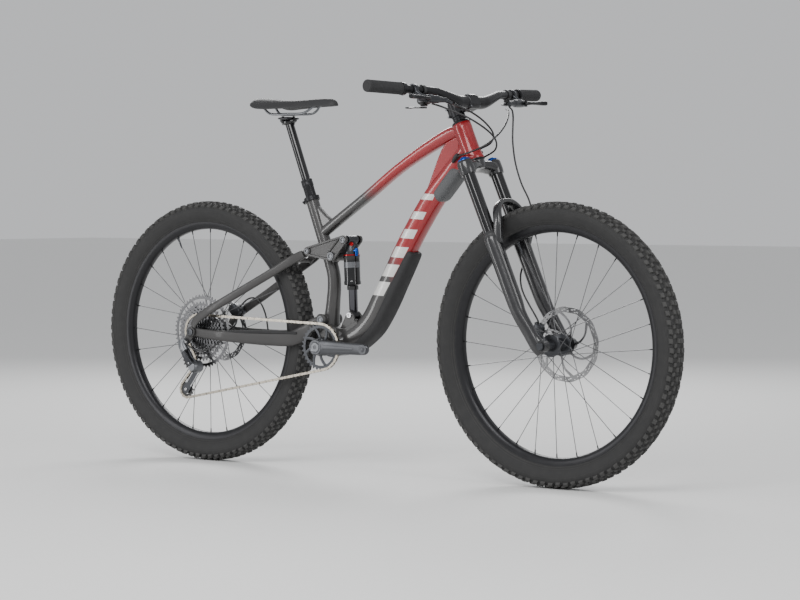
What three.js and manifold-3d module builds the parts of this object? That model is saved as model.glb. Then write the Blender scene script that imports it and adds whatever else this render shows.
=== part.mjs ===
// A full-suspension mountain bike with 29 inch wheels, as an assembly of separate named pieces.
// Millimetres, +Z up, +X forward, +Y to the rider's left. The origin is on the ground, halfway
// between the two axles and in the middle plane.
import * as THREE from 'three';
import { mergeVertices } from 'three/addons/utils/BufferGeometryUtils.js';
import Module from 'manifold-3d';

const wasm = await Module();
wasm.setup();

// ---- driving dimensions ----
const WHEELBASE = 1210;
const TYRE_RADIUS = 378;
const TYRE_HALF_WIDTH = 33;
const RIM_RADIUS = 318;
const RIM_INNER_RADIUS = 296;
const RIM_HALF_WIDTH = 17.5;
const WHEEL_SEGMENTS = 32;
const SPOKE_PAIRS = 5;             // each pair is one leading and one trailing spoke on one side

const HEAD_ANGLE = 66;             // degrees from the ground
const FORK_OFFSET = 44;            // front axle ahead of the steering axis
const AXLE_TO_CROWN = 549;
const HEAD_TUBE_LOW = 4;           // distances along the steering axis, up from the crown seat
const HEAD_TUBE_TOP = 112;
const STEM_LOW = 133;
const STEM_TOP = 173;
const STEM_REACH = 50;
const LEG_SPREAD = 65;             // fork leg to the middle plane
const LEG_FORWARD = 10;            // fork leg ahead of the steering axis
const STANCHION_R = 17;
const STANCHION_SIDES = 12;

const BAR_HALF_WIDTH = 390;
const BAR_RISE = 27.5;
const BAR_R = 11.1;
const BAR_CLAMP_R = 17.5;
const CLAMP_BORE_R = 11.9;         // round the bar's grips end, for levers and controls

const CRANK_X = -152;              // crank axis
const CRANK_Z = 349;
const CRANK_LENGTH = 175;
const CHAIN_Y = -50.5;             // the plane that the chain runs in
const CHAIN_PITCH = 12.7;

const SEAT_ANGLE = 69.1;           // slope of the seat post from the ground
const SEAT_TOP_X = -224;           // top of the seat tube
const SEAT_TOP_Z = 768;
const POST_SHOWING = 234;          // seat tube top to the middle of the post head

const GAP = 0.3;                   // kept between pieces that touch

// ---- small vector helpers ----
const v = (x, y, z) => new THREE.Vector3(x, y, z);
const Y_AXIS = v(0, 1, 0);
const rad = (degrees) => degrees * Math.PI / 180;
const along = (from, direction, length) => from.clone().addScaledVector(direction, length);

// ---- fixed points ----
const REAR_AXLE = v(-WHEELBASE / 2, 0, TYRE_RADIUS);
const FRONT_AXLE = v(WHEELBASE / 2, 0, TYRE_RADIUS);
const STEER_UP = v(-Math.cos(rad(HEAD_ANGLE)), 0, Math.sin(rad(HEAD_ANGLE)));
const STEER_FORWARD = v(Math.sin(rad(HEAD_ANGLE)), 0, Math.cos(rad(HEAD_ANGLE)));
const CROWN_SEAT = along(along(FRONT_AXLE, STEER_FORWARD, -FORK_OFFSET), STEER_UP, AXLE_TO_CROWN);
const steer = (up, forward = 0, side = 0) =>
  along(along(CROWN_SEAT, STEER_UP, up), STEER_FORWARD, forward).add(v(0, side, 0));
const CRANK = v(CRANK_X, 0, CRANK_Z);
const POST_UP = v(-Math.cos(rad(SEAT_ANGLE)), 0, Math.sin(rad(SEAT_ANGLE)));
const SEAT_TOP = v(SEAT_TOP_X, 0, SEAT_TOP_Z);
const post = (up) => along(SEAT_TOP, POST_UP, up);

const SWING_PIVOT = v(-160, 0, 424);       // chainstays to frame
const ROCKER_PIVOT = v(-125, 0, 603);      // rocker to seat tube
const ROCKER_SHOCK = v(-82, 0, 649);       // rocker to shock
const ROCKER_STAY = v(-210, 0, 616);       // rocker to seatstays
const SHOCK_FOOT = v(-72, 0, 439);         // shock to frame
const SHOCK_UP = ROCKER_SHOCK.clone().sub(SHOCK_FOOT).normalize();
const SHOCK_LENGTH = ROCKER_SHOCK.distanceTo(SHOCK_FOOT);

const HANGER = v(-630, 0, 346);            // derailleur bolt
const CAGE_PIVOT = v(-598, 0, 277);
const GUIDE_PULLEY = v(-640, 0, 292);
const TENSION_PULLEY = v(-650, 0, 208);
const gearRadius = (teeth) => CHAIN_PITCH / (2 * Math.sin(Math.PI / teeth));
const RING_TEETH = 32;
const COG_TEETH = 24;                      // the cog that the chain is on
const PULLEY_TEETH = 12;

// ---- geometry helpers ----

// Leaves only position, merges shared corners and turns the faces outwards.
function closed(geometry) {
  geometry.deleteAttribute('normal');
  geometry.deleteAttribute('uv');
  const merged = mergeVertices(geometry, 1e-3);
  const position = merged.attributes.position;
  const old = merged.index.array;
  const index = [];
  let volume = 0;
  const corner = (i) => new THREE.Vector3().fromBufferAttribute(position, i);
  for (let i = 0; i < old.length; i += 3) {
    const [a, b, c] = [old[i], old[i + 1], old[i + 2]];
    if (a === b || b === c || a === c) continue;
    index.push(a, b, c);
    volume += corner(a).dot(corner(b).cross(corner(c)));
  }
  if (volume < 0) index.reverse();
  merged.setIndex(index);
  return merged;
}

function solid(geometry) {
  const shape = closed(geometry);
  return new wasm.Manifold(new wasm.Mesh({
    numProp: 3,
    vertProperties: new Float32Array(shape.attributes.position.array),
    triVerts: new Uint32Array(shape.index.array),
  }));
}

function geometryOf(manifold) {
  const mesh = manifold.getMesh();
  const geometry = new THREE.BufferGeometry();
  geometry.setAttribute('position', new THREE.BufferAttribute(new Float32Array(mesh.vertProperties), 3));
  geometry.setIndex(new THREE.BufferAttribute(new Uint32Array(mesh.triVerts), 1));
  return geometry;
}

const join = (...geometries) => geometries.map(solid).reduce((a, b) => a.add(b));
const cut = (body, ...tools) => tools.map(solid).reduce((a, b) => a.subtract(b), body);

// Turns a shape made around the +Y axis so that +Y points along direction, then moves it.
function aim(geometry, at, direction) {
  geometry.applyQuaternion(new THREE.Quaternion().setFromUnitVectors(Y_AXIS, direction.clone().normalize()));
  geometry.translate(at.x, at.y, at.z);
  return geometry;
}

function rod(from, to, radius, sides = 12, endRadius = radius) {
  const line = to.clone().sub(from);
  const shape = new THREE.CylinderGeometry(endRadius, radius, line.length(), sides);
  shape.translate(0, line.length() / 2, 0);
  return aim(shape, from, line);
}

// A cylinder across the bike, centred on point and reaching from y = low to y = high.
const axlePin = (point, low, high, radius, sides = 12) =>
  rod(v(point.x, low, point.z), v(point.x, high, point.z), radius, sides);

// A turned piece: pairs of [radius, distance along direction].
function turned(at, direction, profile, segments = 14, isRing = false) {
  const points = profile.map(([r, y]) => new THREE.Vector2(Math.max(r, 0), y));
  if (isRing) points.push(points[0].clone());
  return aim(new THREE.LatheGeometry(points, segments), at, direction);
}

function box(at, size, tilt = 0) {
  const shape = new THREE.BoxGeometry(size.x, size.y, size.z);
  shape.rotateY(tilt);
  shape.translate(at.x, at.y, at.z);
  return shape;
}

// A tube through stations { at, half: [across, deep], power }. "Across" stays as near to the given
// direction as the path allows. A power above 2 squares the section off.
function loft(stations, sides = 10, across = Y_AXIS) {
  const position = [];
  const index = [];
  stations.forEach((station, k) => {
    const before = stations[Math.max(k - 1, 0)].at;
    const after = stations[Math.min(k + 1, stations.length - 1)].at;
    const forward = after.clone().sub(before).normalize();
    const side = across.clone().addScaledVector(forward, -across.dot(forward)).normalize();
    const up = forward.clone().cross(side);
    const power = 2 / (station.power ?? 2);
    for (let i = 0; i < sides; i += 1) {
      const angle = 2 * Math.PI * (i + 0.5) / sides;
      const c = Math.cos(angle);
      const s = Math.sin(angle);
      const wide = Math.sign(c) * Math.abs(c) ** power * station.half[0];
      const deep = Math.sign(s) * Math.abs(s) ** power * station.half[1];
      const p = station.at.clone().addScaledVector(side, wide).addScaledVector(up, deep);
      position.push(p.x, p.y, p.z);
    }
  });
  const last = (stations.length - 1) * sides;
  for (let k = 0; k < stations.length - 1; k += 1) {
    for (let i = 0; i < sides; i += 1) {
      const a = k * sides + i;
      const b = k * sides + (i + 1) % sides;
      index.push(a, b, a + sides, b, b + sides, a + sides);
    }
  }
  for (let i = 1; i < sides - 1; i += 1) {
    index.push(0, i + 1, i);
    index.push(last, last + i, last + i + 1);
  }
  const geometry = new THREE.BufferGeometry();
  geometry.setAttribute('position', new THREE.BufferAttribute(new Float32Array(position), 3));
  geometry.setIndex(index);
  return geometry;
}

const station = (x, y, z, across, deep, power = 2.4) => ({ at: v(x, y, z), half: [across, deep], power });

// A cable or hose along a smooth curve through the given points.
function cable(points, radius, steps, sides = 5) {
  const section = new THREE.Shape();
  for (let i = 0; i < sides; i += 1) {
    const angle = 2 * Math.PI * i / sides;
    const [x, y] = [radius * Math.cos(angle), radius * Math.sin(angle)];
    if (i === 0) section.moveTo(x, y);
    else section.lineTo(x, y);
  }
  const path = new THREE.CatmullRomCurve3(points, false, 'centripetal');
  return new THREE.ExtrudeGeometry(section, { steps, bevelEnabled: false, extrudePath: path });
}

// A plate across the bike from an outline in side view: [x, z] points, between two y planes.
function plate(outline, low, high, holes = []) {
  const shape = new THREE.Shape(outline.map(([x, z]) => new THREE.Vector2(x, z)));
  holes.forEach((hole) => shape.holes.push(new THREE.Path(hole.map(([x, z]) => new THREE.Vector2(x, z)))));
  const geometry = new THREE.ExtrudeGeometry(shape, { depth: high - low, bevelEnabled: false });
  geometry.rotateX(Math.PI / 2);
  geometry.translate(0, high, 0);
  return geometry;
}

const circle = (centre, radius, sides, turn = 0) =>
  Array.from({ length: sides }, (_, i) => {
    const angle = 2 * Math.PI * i / sides + turn;
    return [centre.x + radius * Math.cos(angle), centre.z + radius * Math.sin(angle)];
  });

const bothSides = (make) => [make(1), make(-1)];

// ---- the assembly ----
const bike = new THREE.Group();
const FINISH = {
  frame: { color: 0x9a1c22, roughness: 0.4, metalness: 0.1 },
  black: { color: 0x17181a, roughness: 0.55, metalness: 0.1 },
  rubber: { color: 0x1d1d1e, roughness: 0.9, metalness: 0 },
  alloy: { color: 0x55585c, roughness: 0.4, metalness: 0.8 },
  steel: { color: 0xb9bcc0, roughness: 0.3, metalness: 0.9 },
  dark: { color: 0x2a2b2e, roughness: 0.45, metalness: 0.4 },
};

function add(name, shape, finish) {
  const geometry = shape.isBufferGeometry ? closed(shape) : geometryOf(shape);
  const mesh = new THREE.Mesh(geometry, new THREE.MeshStandardMaterial(FINISH[finish]));
  mesh.name = name;
  bike.add(mesh);
}

// ---- front frame ----
function frontFrame() {
  const headTube = rod(steer(HEAD_TUBE_LOW), steer(HEAD_TUBE_TOP), 28, 16, 26);
  const downTube = loft([
    station(325, 0, 898, 21, 29), station(262, 0, 826, 25, 30), station(202, 0, 759, 27, 30),
    station(127, 0, 650, 28, 30), station(64, 0, 539, 29, 31), station(32, 0, 483, 30, 31),
    station(0, 0, 430, 30, 31), station(-42, 0, 392, 30, 30), station(-110, 0, 362, 30, 26),
  ], 10);
  const topTube = loft([
    station(300, 0, 940, 20, 18), station(266, 0, 938, 19, 19), station(192, 0, 904, 18, 17),
    station(89, 0, 846, 18, 14), station(-15, 0, 775, 18, 13.5), station(-86, 0, 729, 17, 14),
    station(-164, 0, 678, 16, 15), station(-186, 0, 664, 15, 15),
  ], 8);
  const seatTube = loft([
    { at: post(0), half: [18.2, 18.2] }, { at: post(-120), half: [18.4, 18.4] },
    { at: post(-215), half: [18.6, 18.6] }, station(-141, 0, 520, 19, 19), station(-145, 0, 470, 20, 20),
    station(-150, 0, 420, 23, 22), station(-152, 0, 360, 27, 24),
  ], 12);
  const seatGusset = plate([[-212, 742], [-200, 747], [-142, 701], [-136, 688], [-172, 668]], -8, 8);
  const headGusset = plate([
    [192, 793], [214, 842], [234, 884], [248, 912], [300, 935], [300, 880], [235, 815],
  ], -15, 15);
  // pad where the fork crown would meet the down tube
  const bumperPad = loft([
    station(295, 0, 842, 22, 15, 3), station(280, 0, 825, 28, 20, 3), station(240, 0, 781, 29, 20, 3),
    station(225, 0, 765, 25, 15, 3),
  ], 8);
  const shell = axlePin(CRANK, -36.5, 36.5, 26, 16);
  const block = plate([
    [-176, 352], [-164, 330], [-120, 322], [-60, 338], [-12, 374], [-45, 424], [-84, 402], [-128, 406], [-172, 440],
  ], -27, 27);
  const swingBoss = axlePin(SWING_PIVOT, -26.5, 26.5, 17);
  const rockerLug = join(axlePin(ROCKER_PIVOT, -22, 22, 14), plate([
    [-165, 570], [-128, 592], [-122, 614], [-182, 640],
  ], -12, 12));
  const ears = bothSides((s) => plate([
    [-106, 400], [-86, 438], [-78, 449], [-66, 449], [-58, 438], [-50, 400],
  ], s > 0 ? 14 : -20, s > 0 ? 20 : -14));
  const body = join(headTube, downTube, topTube, seatTube, seatGusset, headGusset, bumperPad, shell, block,
    swingBoss, ...ears)
    .add(rockerLug);
  return cut(body,
    rod(steer(-10), steer(HEAD_TUBE_TOP + 10), 18.3, 16),
    rod(steer(-90), steer(HEAD_TUBE_LOW), 34, 20),
    rod(steer(HEAD_TUBE_TOP), steer(HEAD_TUBE_TOP + 30), 30, 20),
    rod(post(5), post(-205), 15.9, 16),
    axlePin(CRANK, -60, 60, 21.2, 16),
    axlePin(SWING_PIVOT, -60, 60, 8.5),
    axlePin(ROCKER_PIVOT, -60, 60, 8.5),
    // slot behind the seat clamp, and the cable ports beside the head tube
    box(post(-14).add(v(-18, 0, 0)), v(16, 2, 34), rad(90 - SEAT_ANGLE) * -1));
}
add('front_frame', frontFrame(), 'frame');

add('down_tube_guard', cut(join(loft([
  station(137, 0, 610, 28, 14, 3), station(88, 0, 525, 31, 16, 3), station(41, 0, 443, 32, 16, 3),
  station(8, 0, 398, 32, 16, 3),
  station(-40, 0, 358, 30, 14, 3), station(-66, 0, 342, 26, 12, 3),
], 12)), loft([
  station(202, 0, 759, 28, 31.5), station(127, 0, 650, 29, 31.5), station(64, 0, 539, 30, 32.5),
  station(32, 0, 483, 31, 32.5), station(0, 0, 430, 31, 32.5), station(-42, 0, 392, 31, 31.5),
  station(-110, 0, 362, 31, 27.5),
], 16), plate([
  [-178, 352], [-166, 328], [-120, 320], [-60, 336], [-10, 374], [-43, 426], [-84, 404], [-174, 442],
], -28, 28)), 'rubber');

// Headset: lower bearing ring, sleeve inside the head tube, top cover and the spacers under the stem.
add('headset', turned(CROWN_SEAT, STEER_UP, [
  [14.7, GAP], [27, GAP], [28, HEAD_TUBE_LOW - GAP], [17.9, HEAD_TUBE_LOW - GAP],
  [17.9, HEAD_TUBE_TOP + GAP], [25.5, HEAD_TUBE_TOP + GAP], [23, HEAD_TUBE_TOP + 6],
  [18, HEAD_TUBE_TOP + 8], [18, STEM_LOW - GAP], [14.7, STEM_LOW - GAP],
], 16, true), 'alloy');

add('seat_clamp', cut(join(
  turned(post(-13), POST_UP, [[18.8, 0], [22, 0], [22, 13], [18.8, 13]], 20, true),
  box(post(-6.5).add(v(-25, 0, -9)), v(11, 15, 12), -rad(90 - SEAT_ANGLE))),
  rod(post(-20), post(6), 18.7, 20)), 'dark');

add('bottom_bracket', turned(v(CRANK.x, 0, CRANK.z), Y_AXIS, [
  [15.5, -43], [23, -43], [23, -37], [20.6, -37], [20.6, 37], [23, 37], [23, 43], [15.5, 43],
], 16, true), 'dark');

// ---- seat post and saddle ----
const WIPER = 52;
add('dropper_outer', turned(SEAT_TOP, POST_UP, [
  [0, -200], [15.5, -200], [15.5, WIPER - 20], [16.5, WIPER - 18], [16.5, WIPER], [13, WIPER],
  [13, -195], [0, -195],
], 20), 'black');

const RAIL_Z = 1003;
const RAIL_Y = 22;
const HEAD = post(POST_SHOWING);
add('dropper_inner', join(
  rod(post(-10), post(POST_SHOWING - 2), 12.5, 20),
  loft([station(HEAD.x - 22, 0, RAIL_Z - 10, 10, 5), station(HEAD.x - 8, 0, RAIL_Z - 13, 24, 9),
    station(HEAD.x + 8, 0, RAIL_Z - 13, 24, 9), station(HEAD.x + 22, 0, RAIL_Z - 10, 10, 5)], 12)), 'black');

const saddleBody = () => loft([
  station(-136, 0, 1031, 8, 6), station(-150, 0, 1033, 17, 11), station(-190, 0, 1036, 19, 13),
  station(-240, 0, 1034, 24, 13), station(-285, 0, 1033, 38, 13), station(-325, 0, 1031, 60, 14),
  station(-365, 0, 1032, 71, 14), station(-395, 0, 1035, 64, 12), station(-406, 0, 1038, 46, 8),
], 14);
add('saddle', saddleBody(), 'black');

const railLine = (side) => [
  v(-196, side * 10, 1023), v(-214, side * 17, 1016), v(-244, side * RAIL_Y, RAIL_Z),
  v(-344, side * RAIL_Y, RAIL_Z), v(-368, side * 26, 1010), v(-380, side * 28, 1021),
];
add('saddle_rails', cut(join(
  ...bothSides((side) => loft(railLine(side).map((at) => ({ at, half: [3.5, 3.5], power: 2 })), 6)),
  rod(railLine(1)[0], railLine(-1)[0], 5, 6),
  rod(railLine(1)[5], railLine(-1)[5], 4, 6)),
saddleBody().translate(0, 0, -0.5), saddleBody().translate(0, 0, 6)), 'steel');

add('saddle_clamp', cut(join(
  box(v(HEAD.x, 0, RAIL_Z + 7), v(34, 56, 5)),
  box(v(HEAD.x, 0, RAIL_Z + 1.4), v(30, 32, 9.5))), ...[-9, 9].map((x) =>
  rod(v(HEAD.x + x, 0, RAIL_Z + 20), v(HEAD.x + x, 0, RAIL_Z + 6), 2.5, 6))), 'black');

// ---- fork ----
const CROWN_DEEP = 42;
function forkUpper() {
  const crown = join(...bothSides((s) => loft([
    { at: steer(-14, 0, 0), half: [22, 12], power: 3 }, { at: steer(-16, 4, s * 30), half: [24, 13], power: 3 },
    { at: steer(-20, LEG_FORWARD, s * 58), half: [24, 16], power: 3 },
    { at: steer(-22, LEG_FORWARD, s * 66), half: [20, 16], power: 3 },
  ], 8, STEER_FORWARD)), turned(CROWN_SEAT, STEER_UP, [[0, -24], [24, -24], [26, -2], [25, 0], [0, 0]], 14));
  const legs = bothSides((s) => join(
    turned(steer(0, LEG_FORWARD, s * LEG_SPREAD), STEER_UP,
      [[0, -CROWN_DEEP], [21, -CROWN_DEEP], [22, -8], [18, -2], [18, 2], [0, 2]], 14),
    rod(steer(-390, LEG_FORWARD, s * LEG_SPREAD), steer(-10, LEG_FORWARD, s * LEG_SPREAD),
      STANCHION_R, STANCHION_SIDES)));
  return crown.add(legs[0]).add(legs[1]).add(solid(rod(steer(-10), steer(STEM_TOP - 4), 14.3, 20)));
}
add('fork_upper', forkUpper(), 'black');

const SEAL = -212;                 // top of the lower legs along the steering axis
const FOOT = -AXLE_TO_CROWN;
function forkLowers() {
  const legs = bothSides((s) => join(
    loft([
      { at: steer(SEAL, LEG_FORWARD, s * LEG_SPREAD), half: [20.5, 20.5], power: 2 },
      { at: steer(SEAL - 24, LEG_FORWARD, s * LEG_SPREAD), half: [22.5, 22.5], power: 2 },
      { at: steer(-400, LEG_FORWARD, s * (LEG_SPREAD + 1)), half: [21.5, 22], power: 2 },
      { at: steer(-440, LEG_FORWARD + 2, s * (LEG_SPREAD + 4)), half: [17, 20], power: 2 },
      { at: steer(-530, LEG_FORWARD + 16, s * (LEG_SPREAD + 3)), half: [13, 18], power: 2.6 },
      { at: steer(-570, LEG_FORWARD + 20, s * (LEG_SPREAD + 3)), half: [12, 14], power: 2.6 },
    ], 10),
    rod(v(FRONT_AXLE.x, s * 55.4, FRONT_AXLE.z), v(FRONT_AXLE.x, s * 78, FRONT_AXLE.z), 16, 14),
    loft([{ at: steer(-505, LEG_FORWARD + 14, s * 68), half: [11, 14] },
      { at: steer(-546, FORK_OFFSET - 4, s * 67), half: [11, 14] }], 10)));
  const arch = loft([
    { at: steer(-225, 31, LEG_SPREAD), half: [12, 9] }, { at: steer(-190, 44, 62), half: [12, 8] },
    { at: steer(-158, 46, 50), half: [12, 7.5] }, { at: steer(-139, 46, 28), half: [12, 6.5] },
    { at: steer(-136, 46, 0), half: [12, 6] },
    { at: steer(-139, 46, -28), half: [12, 6.5] }, { at: steer(-158, 46, -50), half: [12, 7.5] },
    { at: steer(-190, 44, -62), half: [12, 8] }, { at: steer(-225, 31, -LEG_SPREAD), half: [12, 9] },
  ], 8, STEER_FORWARD);
  return cut(legs[0].add(legs[1]).add(solid(arch)),
    ...bothSides((s) => rod(steer(-548, LEG_FORWARD, s * LEG_SPREAD), steer(-100, LEG_FORWARD, s * LEG_SPREAD),
      STANCHION_R + GAP, STANCHION_SIDES)),
    axlePin(FRONT_AXLE, -100, 100, 7.9), axlePin(FRONT_AXLE, -100, -78.2, 12));
}
add('fork_lowers', forkLowers(), 'black');

add('front_axle', join(axlePin(FRONT_AXLE, -80, 76, 7.5), axlePin(FRONT_AXLE, -82, -78.5, 11)), 'dark');

// ---- cockpit ----
const BAR = steer((STEM_LOW + STEM_TOP) / 2, STEM_REACH);
const barLine = (side) => [
  v(BAR.x, 0, BAR.z), v(BAR.x, side * 45, BAR.z), v(BAR.x + 2, side * 72, BAR.z + 4),
  v(BAR.x - 5, side * 130, BAR.z + BAR_RISE - 7), v(BAR.x - 11, side * 160, BAR.z + BAR_RISE - 2),
  v(BAR.x - 49, side * BAR_HALF_WIDTH, BAR.z + BAR_RISE + 5),
];
const barEnd = (side) => barLine(side)[5];
const gripStart = (side) => barLine(side)[4];
// A point on the straight outer part of the bar, a given distance in from its end.
const onBar = (side, fromEnd) => along(barEnd(side), gripStart(side).sub(barEnd(side)).normalize(), fromEnd);

function handlebar() {
  const half = (side) => loft(barLine(side).map((at, i) => ({
    at, half: i < 2 ? [BAR_CLAMP_R, BAR_CLAMP_R] : i === 2 ? [15.5, 15.5] : [BAR_R, BAR_R], power: 2,
  })), 12, v(1, 0, 0));
  return join(half(1), half(-1));
}
add('handlebar', handlebar(), 'black');

const STEM_MID = (STEM_LOW + STEM_TOP) / 2;
const stemBody = () => cut(join(
  turned(steer(STEM_LOW), STEER_UP, [[0, 0], [19, 0], [19, STEM_TOP - STEM_LOW], [0, STEM_TOP - STEM_LOW]], 20),
  loft([{ at: steer(STEM_MID, 8), half: [17, 16], power: 3 }, { at: steer(STEM_MID, 26), half: [16, 15], power: 3 },
    { at: steer(STEM_MID, 40), half: [24, 19], power: 4 }], 12),
  box(steer(STEM_MID, STEM_REACH - 10), v(20, 50, 42), rad(90 - HEAD_ANGLE) * -1)),
rod(steer(STEM_LOW - 5), steer(STEM_TOP + 5), 14.7, 20),
rod(v(BAR.x, -40, BAR.z), v(BAR.x, 40, BAR.z), BAR_CLAMP_R + GAP, 20),
box(steer(STEM_MID, STEM_REACH + 20), v(40, 60, 60), rad(90 - HEAD_ANGLE) * -1));
add('stem', stemBody().add(solid(turned(steer(STEM_TOP - 2), STEER_UP,
  [[0, 0], [17, 0], [17.5, 5], [14, 8], [0, 8]], 20))), 'black');

add('stem_faceplate', cut(join(
  box(steer(STEM_MID, STEM_REACH + 11.5), v(22, 50, 42), rad(90 - HEAD_ANGLE) * -1)),
rod(v(BAR.x, -40, BAR.z), v(BAR.x, 40, BAR.z), BAR_CLAMP_R + GAP, 20)), 'black');

const GRIP_LENGTH = 132;
for (const [name, side] of [['left', 1], ['right', -1]]) {
  const inward = gripStart(side).sub(barEnd(side)).normalize();
  add(`grip_${name}`, turned(barEnd(side), inward, [
    [0, -2.5], [15, -2.5], [16.5, 0], [16, 5], [15.5, GRIP_LENGTH - 14], [17, GRIP_LENGTH - 12],
    [17, GRIP_LENGTH], [BAR_R + GAP, GRIP_LENGTH], [BAR_R + GAP, -GAP], [0, -GAP],
  ], 14), 'rubber');
}

// Brake levers: a master cylinder clamped on the bar, and a blade that turns about a pivot in front.
const MASTER_FORWARD = 36;
const MASTER_DROP = 24;
function brakeMaster(side) {
  const at = onBar(side, 165);
  const inward = gripStart(side).sub(barEnd(side)).normalize();
  const start = at.clone().add(v(MASTER_FORWARD, -side * 2, -MASTER_DROP));
  const end = start.clone().addScaledVector(inward, 92).add(v(8, 0, -8));
  return cut(join(
    rod(along(at, inward, -7), along(at, inward, 7), 15, 10),
    loft([{ at: at.clone().add(v(6, 0, -2)), half: [7, 6] }, { at: start, half: [7, 6] }], 8),
    loft([{ at: start.clone().addScaledVector(inward, -24), half: [7, 6] }, { at: start, half: [11, 10] },
      { at: start.clone().addScaledVector(inward, 46), half: [10, 9] }, { at: end, half: [6, 6] }], 8, v(0, 0, 1)),
    plate([[start.x + 2, start.z - 7], [start.x + 20, start.z - 6], [start.x + 20, start.z + 6],
      [start.x + 2, start.z + 7]], start.y - 7, start.y + 7)),
  rod(along(barEnd(side), inward, 60), along(barEnd(side), inward, 240), CLAMP_BORE_R, 14),
  box(leverPivot(side), v(16, 40, 7)));
}

function leverPivot(side) {
  const at = onBar(side, 165);
  return at.clone().add(v(MASTER_FORWARD + 15, -side * 2, -MASTER_DROP));
}

function brakeLever(side) {
  const pivot = leverPivot(side);
  const out = barEnd(side).sub(gripStart(side)).normalize();
  const p = (forward, outward, up = 0) =>
    pivot.clone().addScaledVector(out, outward).add(v(forward, 0, up));
  return join(
    rod(pivot.clone().add(v(0, 0, -3)), pivot.clone().add(v(0, 0, 3)), 6, 8),
    loft([{ at: p(0, -2), half: [6, 2.8] }, { at: p(9, 16), half: [5, 2.8] }, { at: p(12, 40), half: [5, 4] },
      { at: p(14, 70), half: [5.5, 4.5] }, { at: p(20, 92), half: [6, 4.5] }], 8, v(1, 0, 0)));
}

for (const [name, side] of [['left', 1], ['right', -1]]) {
  add(`brake_master_${name}`, brakeMaster(side), 'dark');
  add(`brake_lever_${name}`, brakeLever(side), 'dark');
}

// Shifter under the right side of the bar, with a main paddle and a release paddle.
const SHIFT_AT = onBar(-1, 197);
const SHIFT_PIVOT = SHIFT_AT.clone().add(v(6, 0, -44));
add('shifter_body', cut(join(
  rod(SHIFT_AT.clone().add(v(0, -5, 0)), SHIFT_AT.clone().add(v(0, 5, 0)), 14.5, 12),
  loft([{ at: SHIFT_AT.clone().add(v(1, 0, -10)), half: [8, 8] },
    { at: SHIFT_AT.clone().add(v(5, 0, -24)), half: [17, 14], power: 3 },
    { at: SHIFT_AT.clone().add(v(6, 0, -38)), half: [19, 15], power: 3 }], 10, v(0, 1, 0))),
rod(onBar(-1, 60), onBar(-1, 225), CLAMP_BORE_R, 14)), 'black');
const paddle = (drop, reach, length) => join(
  rod(SHIFT_PIVOT.clone().add(v(0, 0, -drop)), SHIFT_PIVOT.clone().add(v(0, 0, -drop + 4)), 9, 10),
  loft([
    { at: SHIFT_PIVOT.clone().add(v(0, 0, 2 - drop)), half: [5, 1.8] },
    { at: SHIFT_PIVOT.clone().add(v(reach, -16, 2 - drop)), half: [6, 1.8] },
    { at: SHIFT_PIVOT.clone().add(v(reach * 1.1, -length, 1 - drop)), half: [8, 1.8] },
  ], 6, v(1, 0, 0)));
add('shift_paddle', paddle(4, -22, 40), 'black');
add('release_paddle', paddle(-1.3, 18, 26), 'black');

// Dropper remote under the left side of the bar.
const REMOTE_AT = onBar(1, 197);
const REMOTE_PIVOT = REMOTE_AT.clone().add(v(0, 0, -25));
add('dropper_remote', cut(join(
  rod(REMOTE_AT.clone().add(v(0, -5, 0)), REMOTE_AT.clone().add(v(0, 5, 0)), 14.5, 12),
  rod(REMOTE_AT.clone().add(v(2, 0, -10)), REMOTE_PIVOT.clone().add(v(0, 0, 6)), 8, 10)),
rod(onBar(1, 60), onBar(1, 225), CLAMP_BORE_R, 14)), 'black');
add('dropper_lever', join(
  rod(REMOTE_PIVOT.clone().add(v(0, 0, -4)), REMOTE_PIVOT.clone().add(v(0, 0, 3)), 8, 12),
  loft([{ at: REMOTE_PIVOT.clone().add(v(0, 0, 0)), half: [5, 2] },
    { at: REMOTE_PIVOT.clone().add(v(-20, 14, -1)), half: [6, 2] },
    { at: REMOTE_PIVOT.clone().add(v(-26, 38, -2)), half: [8, 2.4] }], 8, v(1, 0, 0))), 'black');

// ---- wheels ----
function wheel(end, axle, options) {
  const ring = (profile, segments = WHEEL_SEGMENTS) => turned(axle, Y_AXIS, profile, segments, true);
  const w = TYRE_HALF_WIDTH;
  add(`${end}_tyre`, ring([
    [TYRE_RADIUS, -10], [TYRE_RADIUS - 8, -26], [350, -w],
    [319, -14.4], [311, -14.4], [311, -10.4], [350, -w + 6],
    [370, 0], [350, w - 6], [311, 10.4], [311, 14.4], [319, 14.4],
    [350, w], [TYRE_RADIUS - 8, 26], [TYRE_RADIUS, 10],
  ]), 'rubber');
  const r = RIM_HALF_WIDTH;
  add(`${end}_rim`, ring([
    [RIM_RADIUS, -r], [304, -r + 0.5], [RIM_INNER_RADIUS, -8], [RIM_INNER_RADIUS, 8], [304, r - 0.5],
    [RIM_RADIUS, r], [RIM_RADIUS, r - 2.3], [308, r - 2.5], [308, -r + 2.5], [RIM_RADIUS, -r + 2.3],
  ]), 'black');
  add(`${end}_hub`, cut(solid(turned(axle, Y_AXIS, options.hub, 14)), axlePin(axle, -100, 100, options.bore)), 'dark');
  add(`${end}_spokes`, spokes(axle, options), 'alloy');
  add(`${end}_rotor`, rotor(axle, options), 'steel');
}

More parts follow.
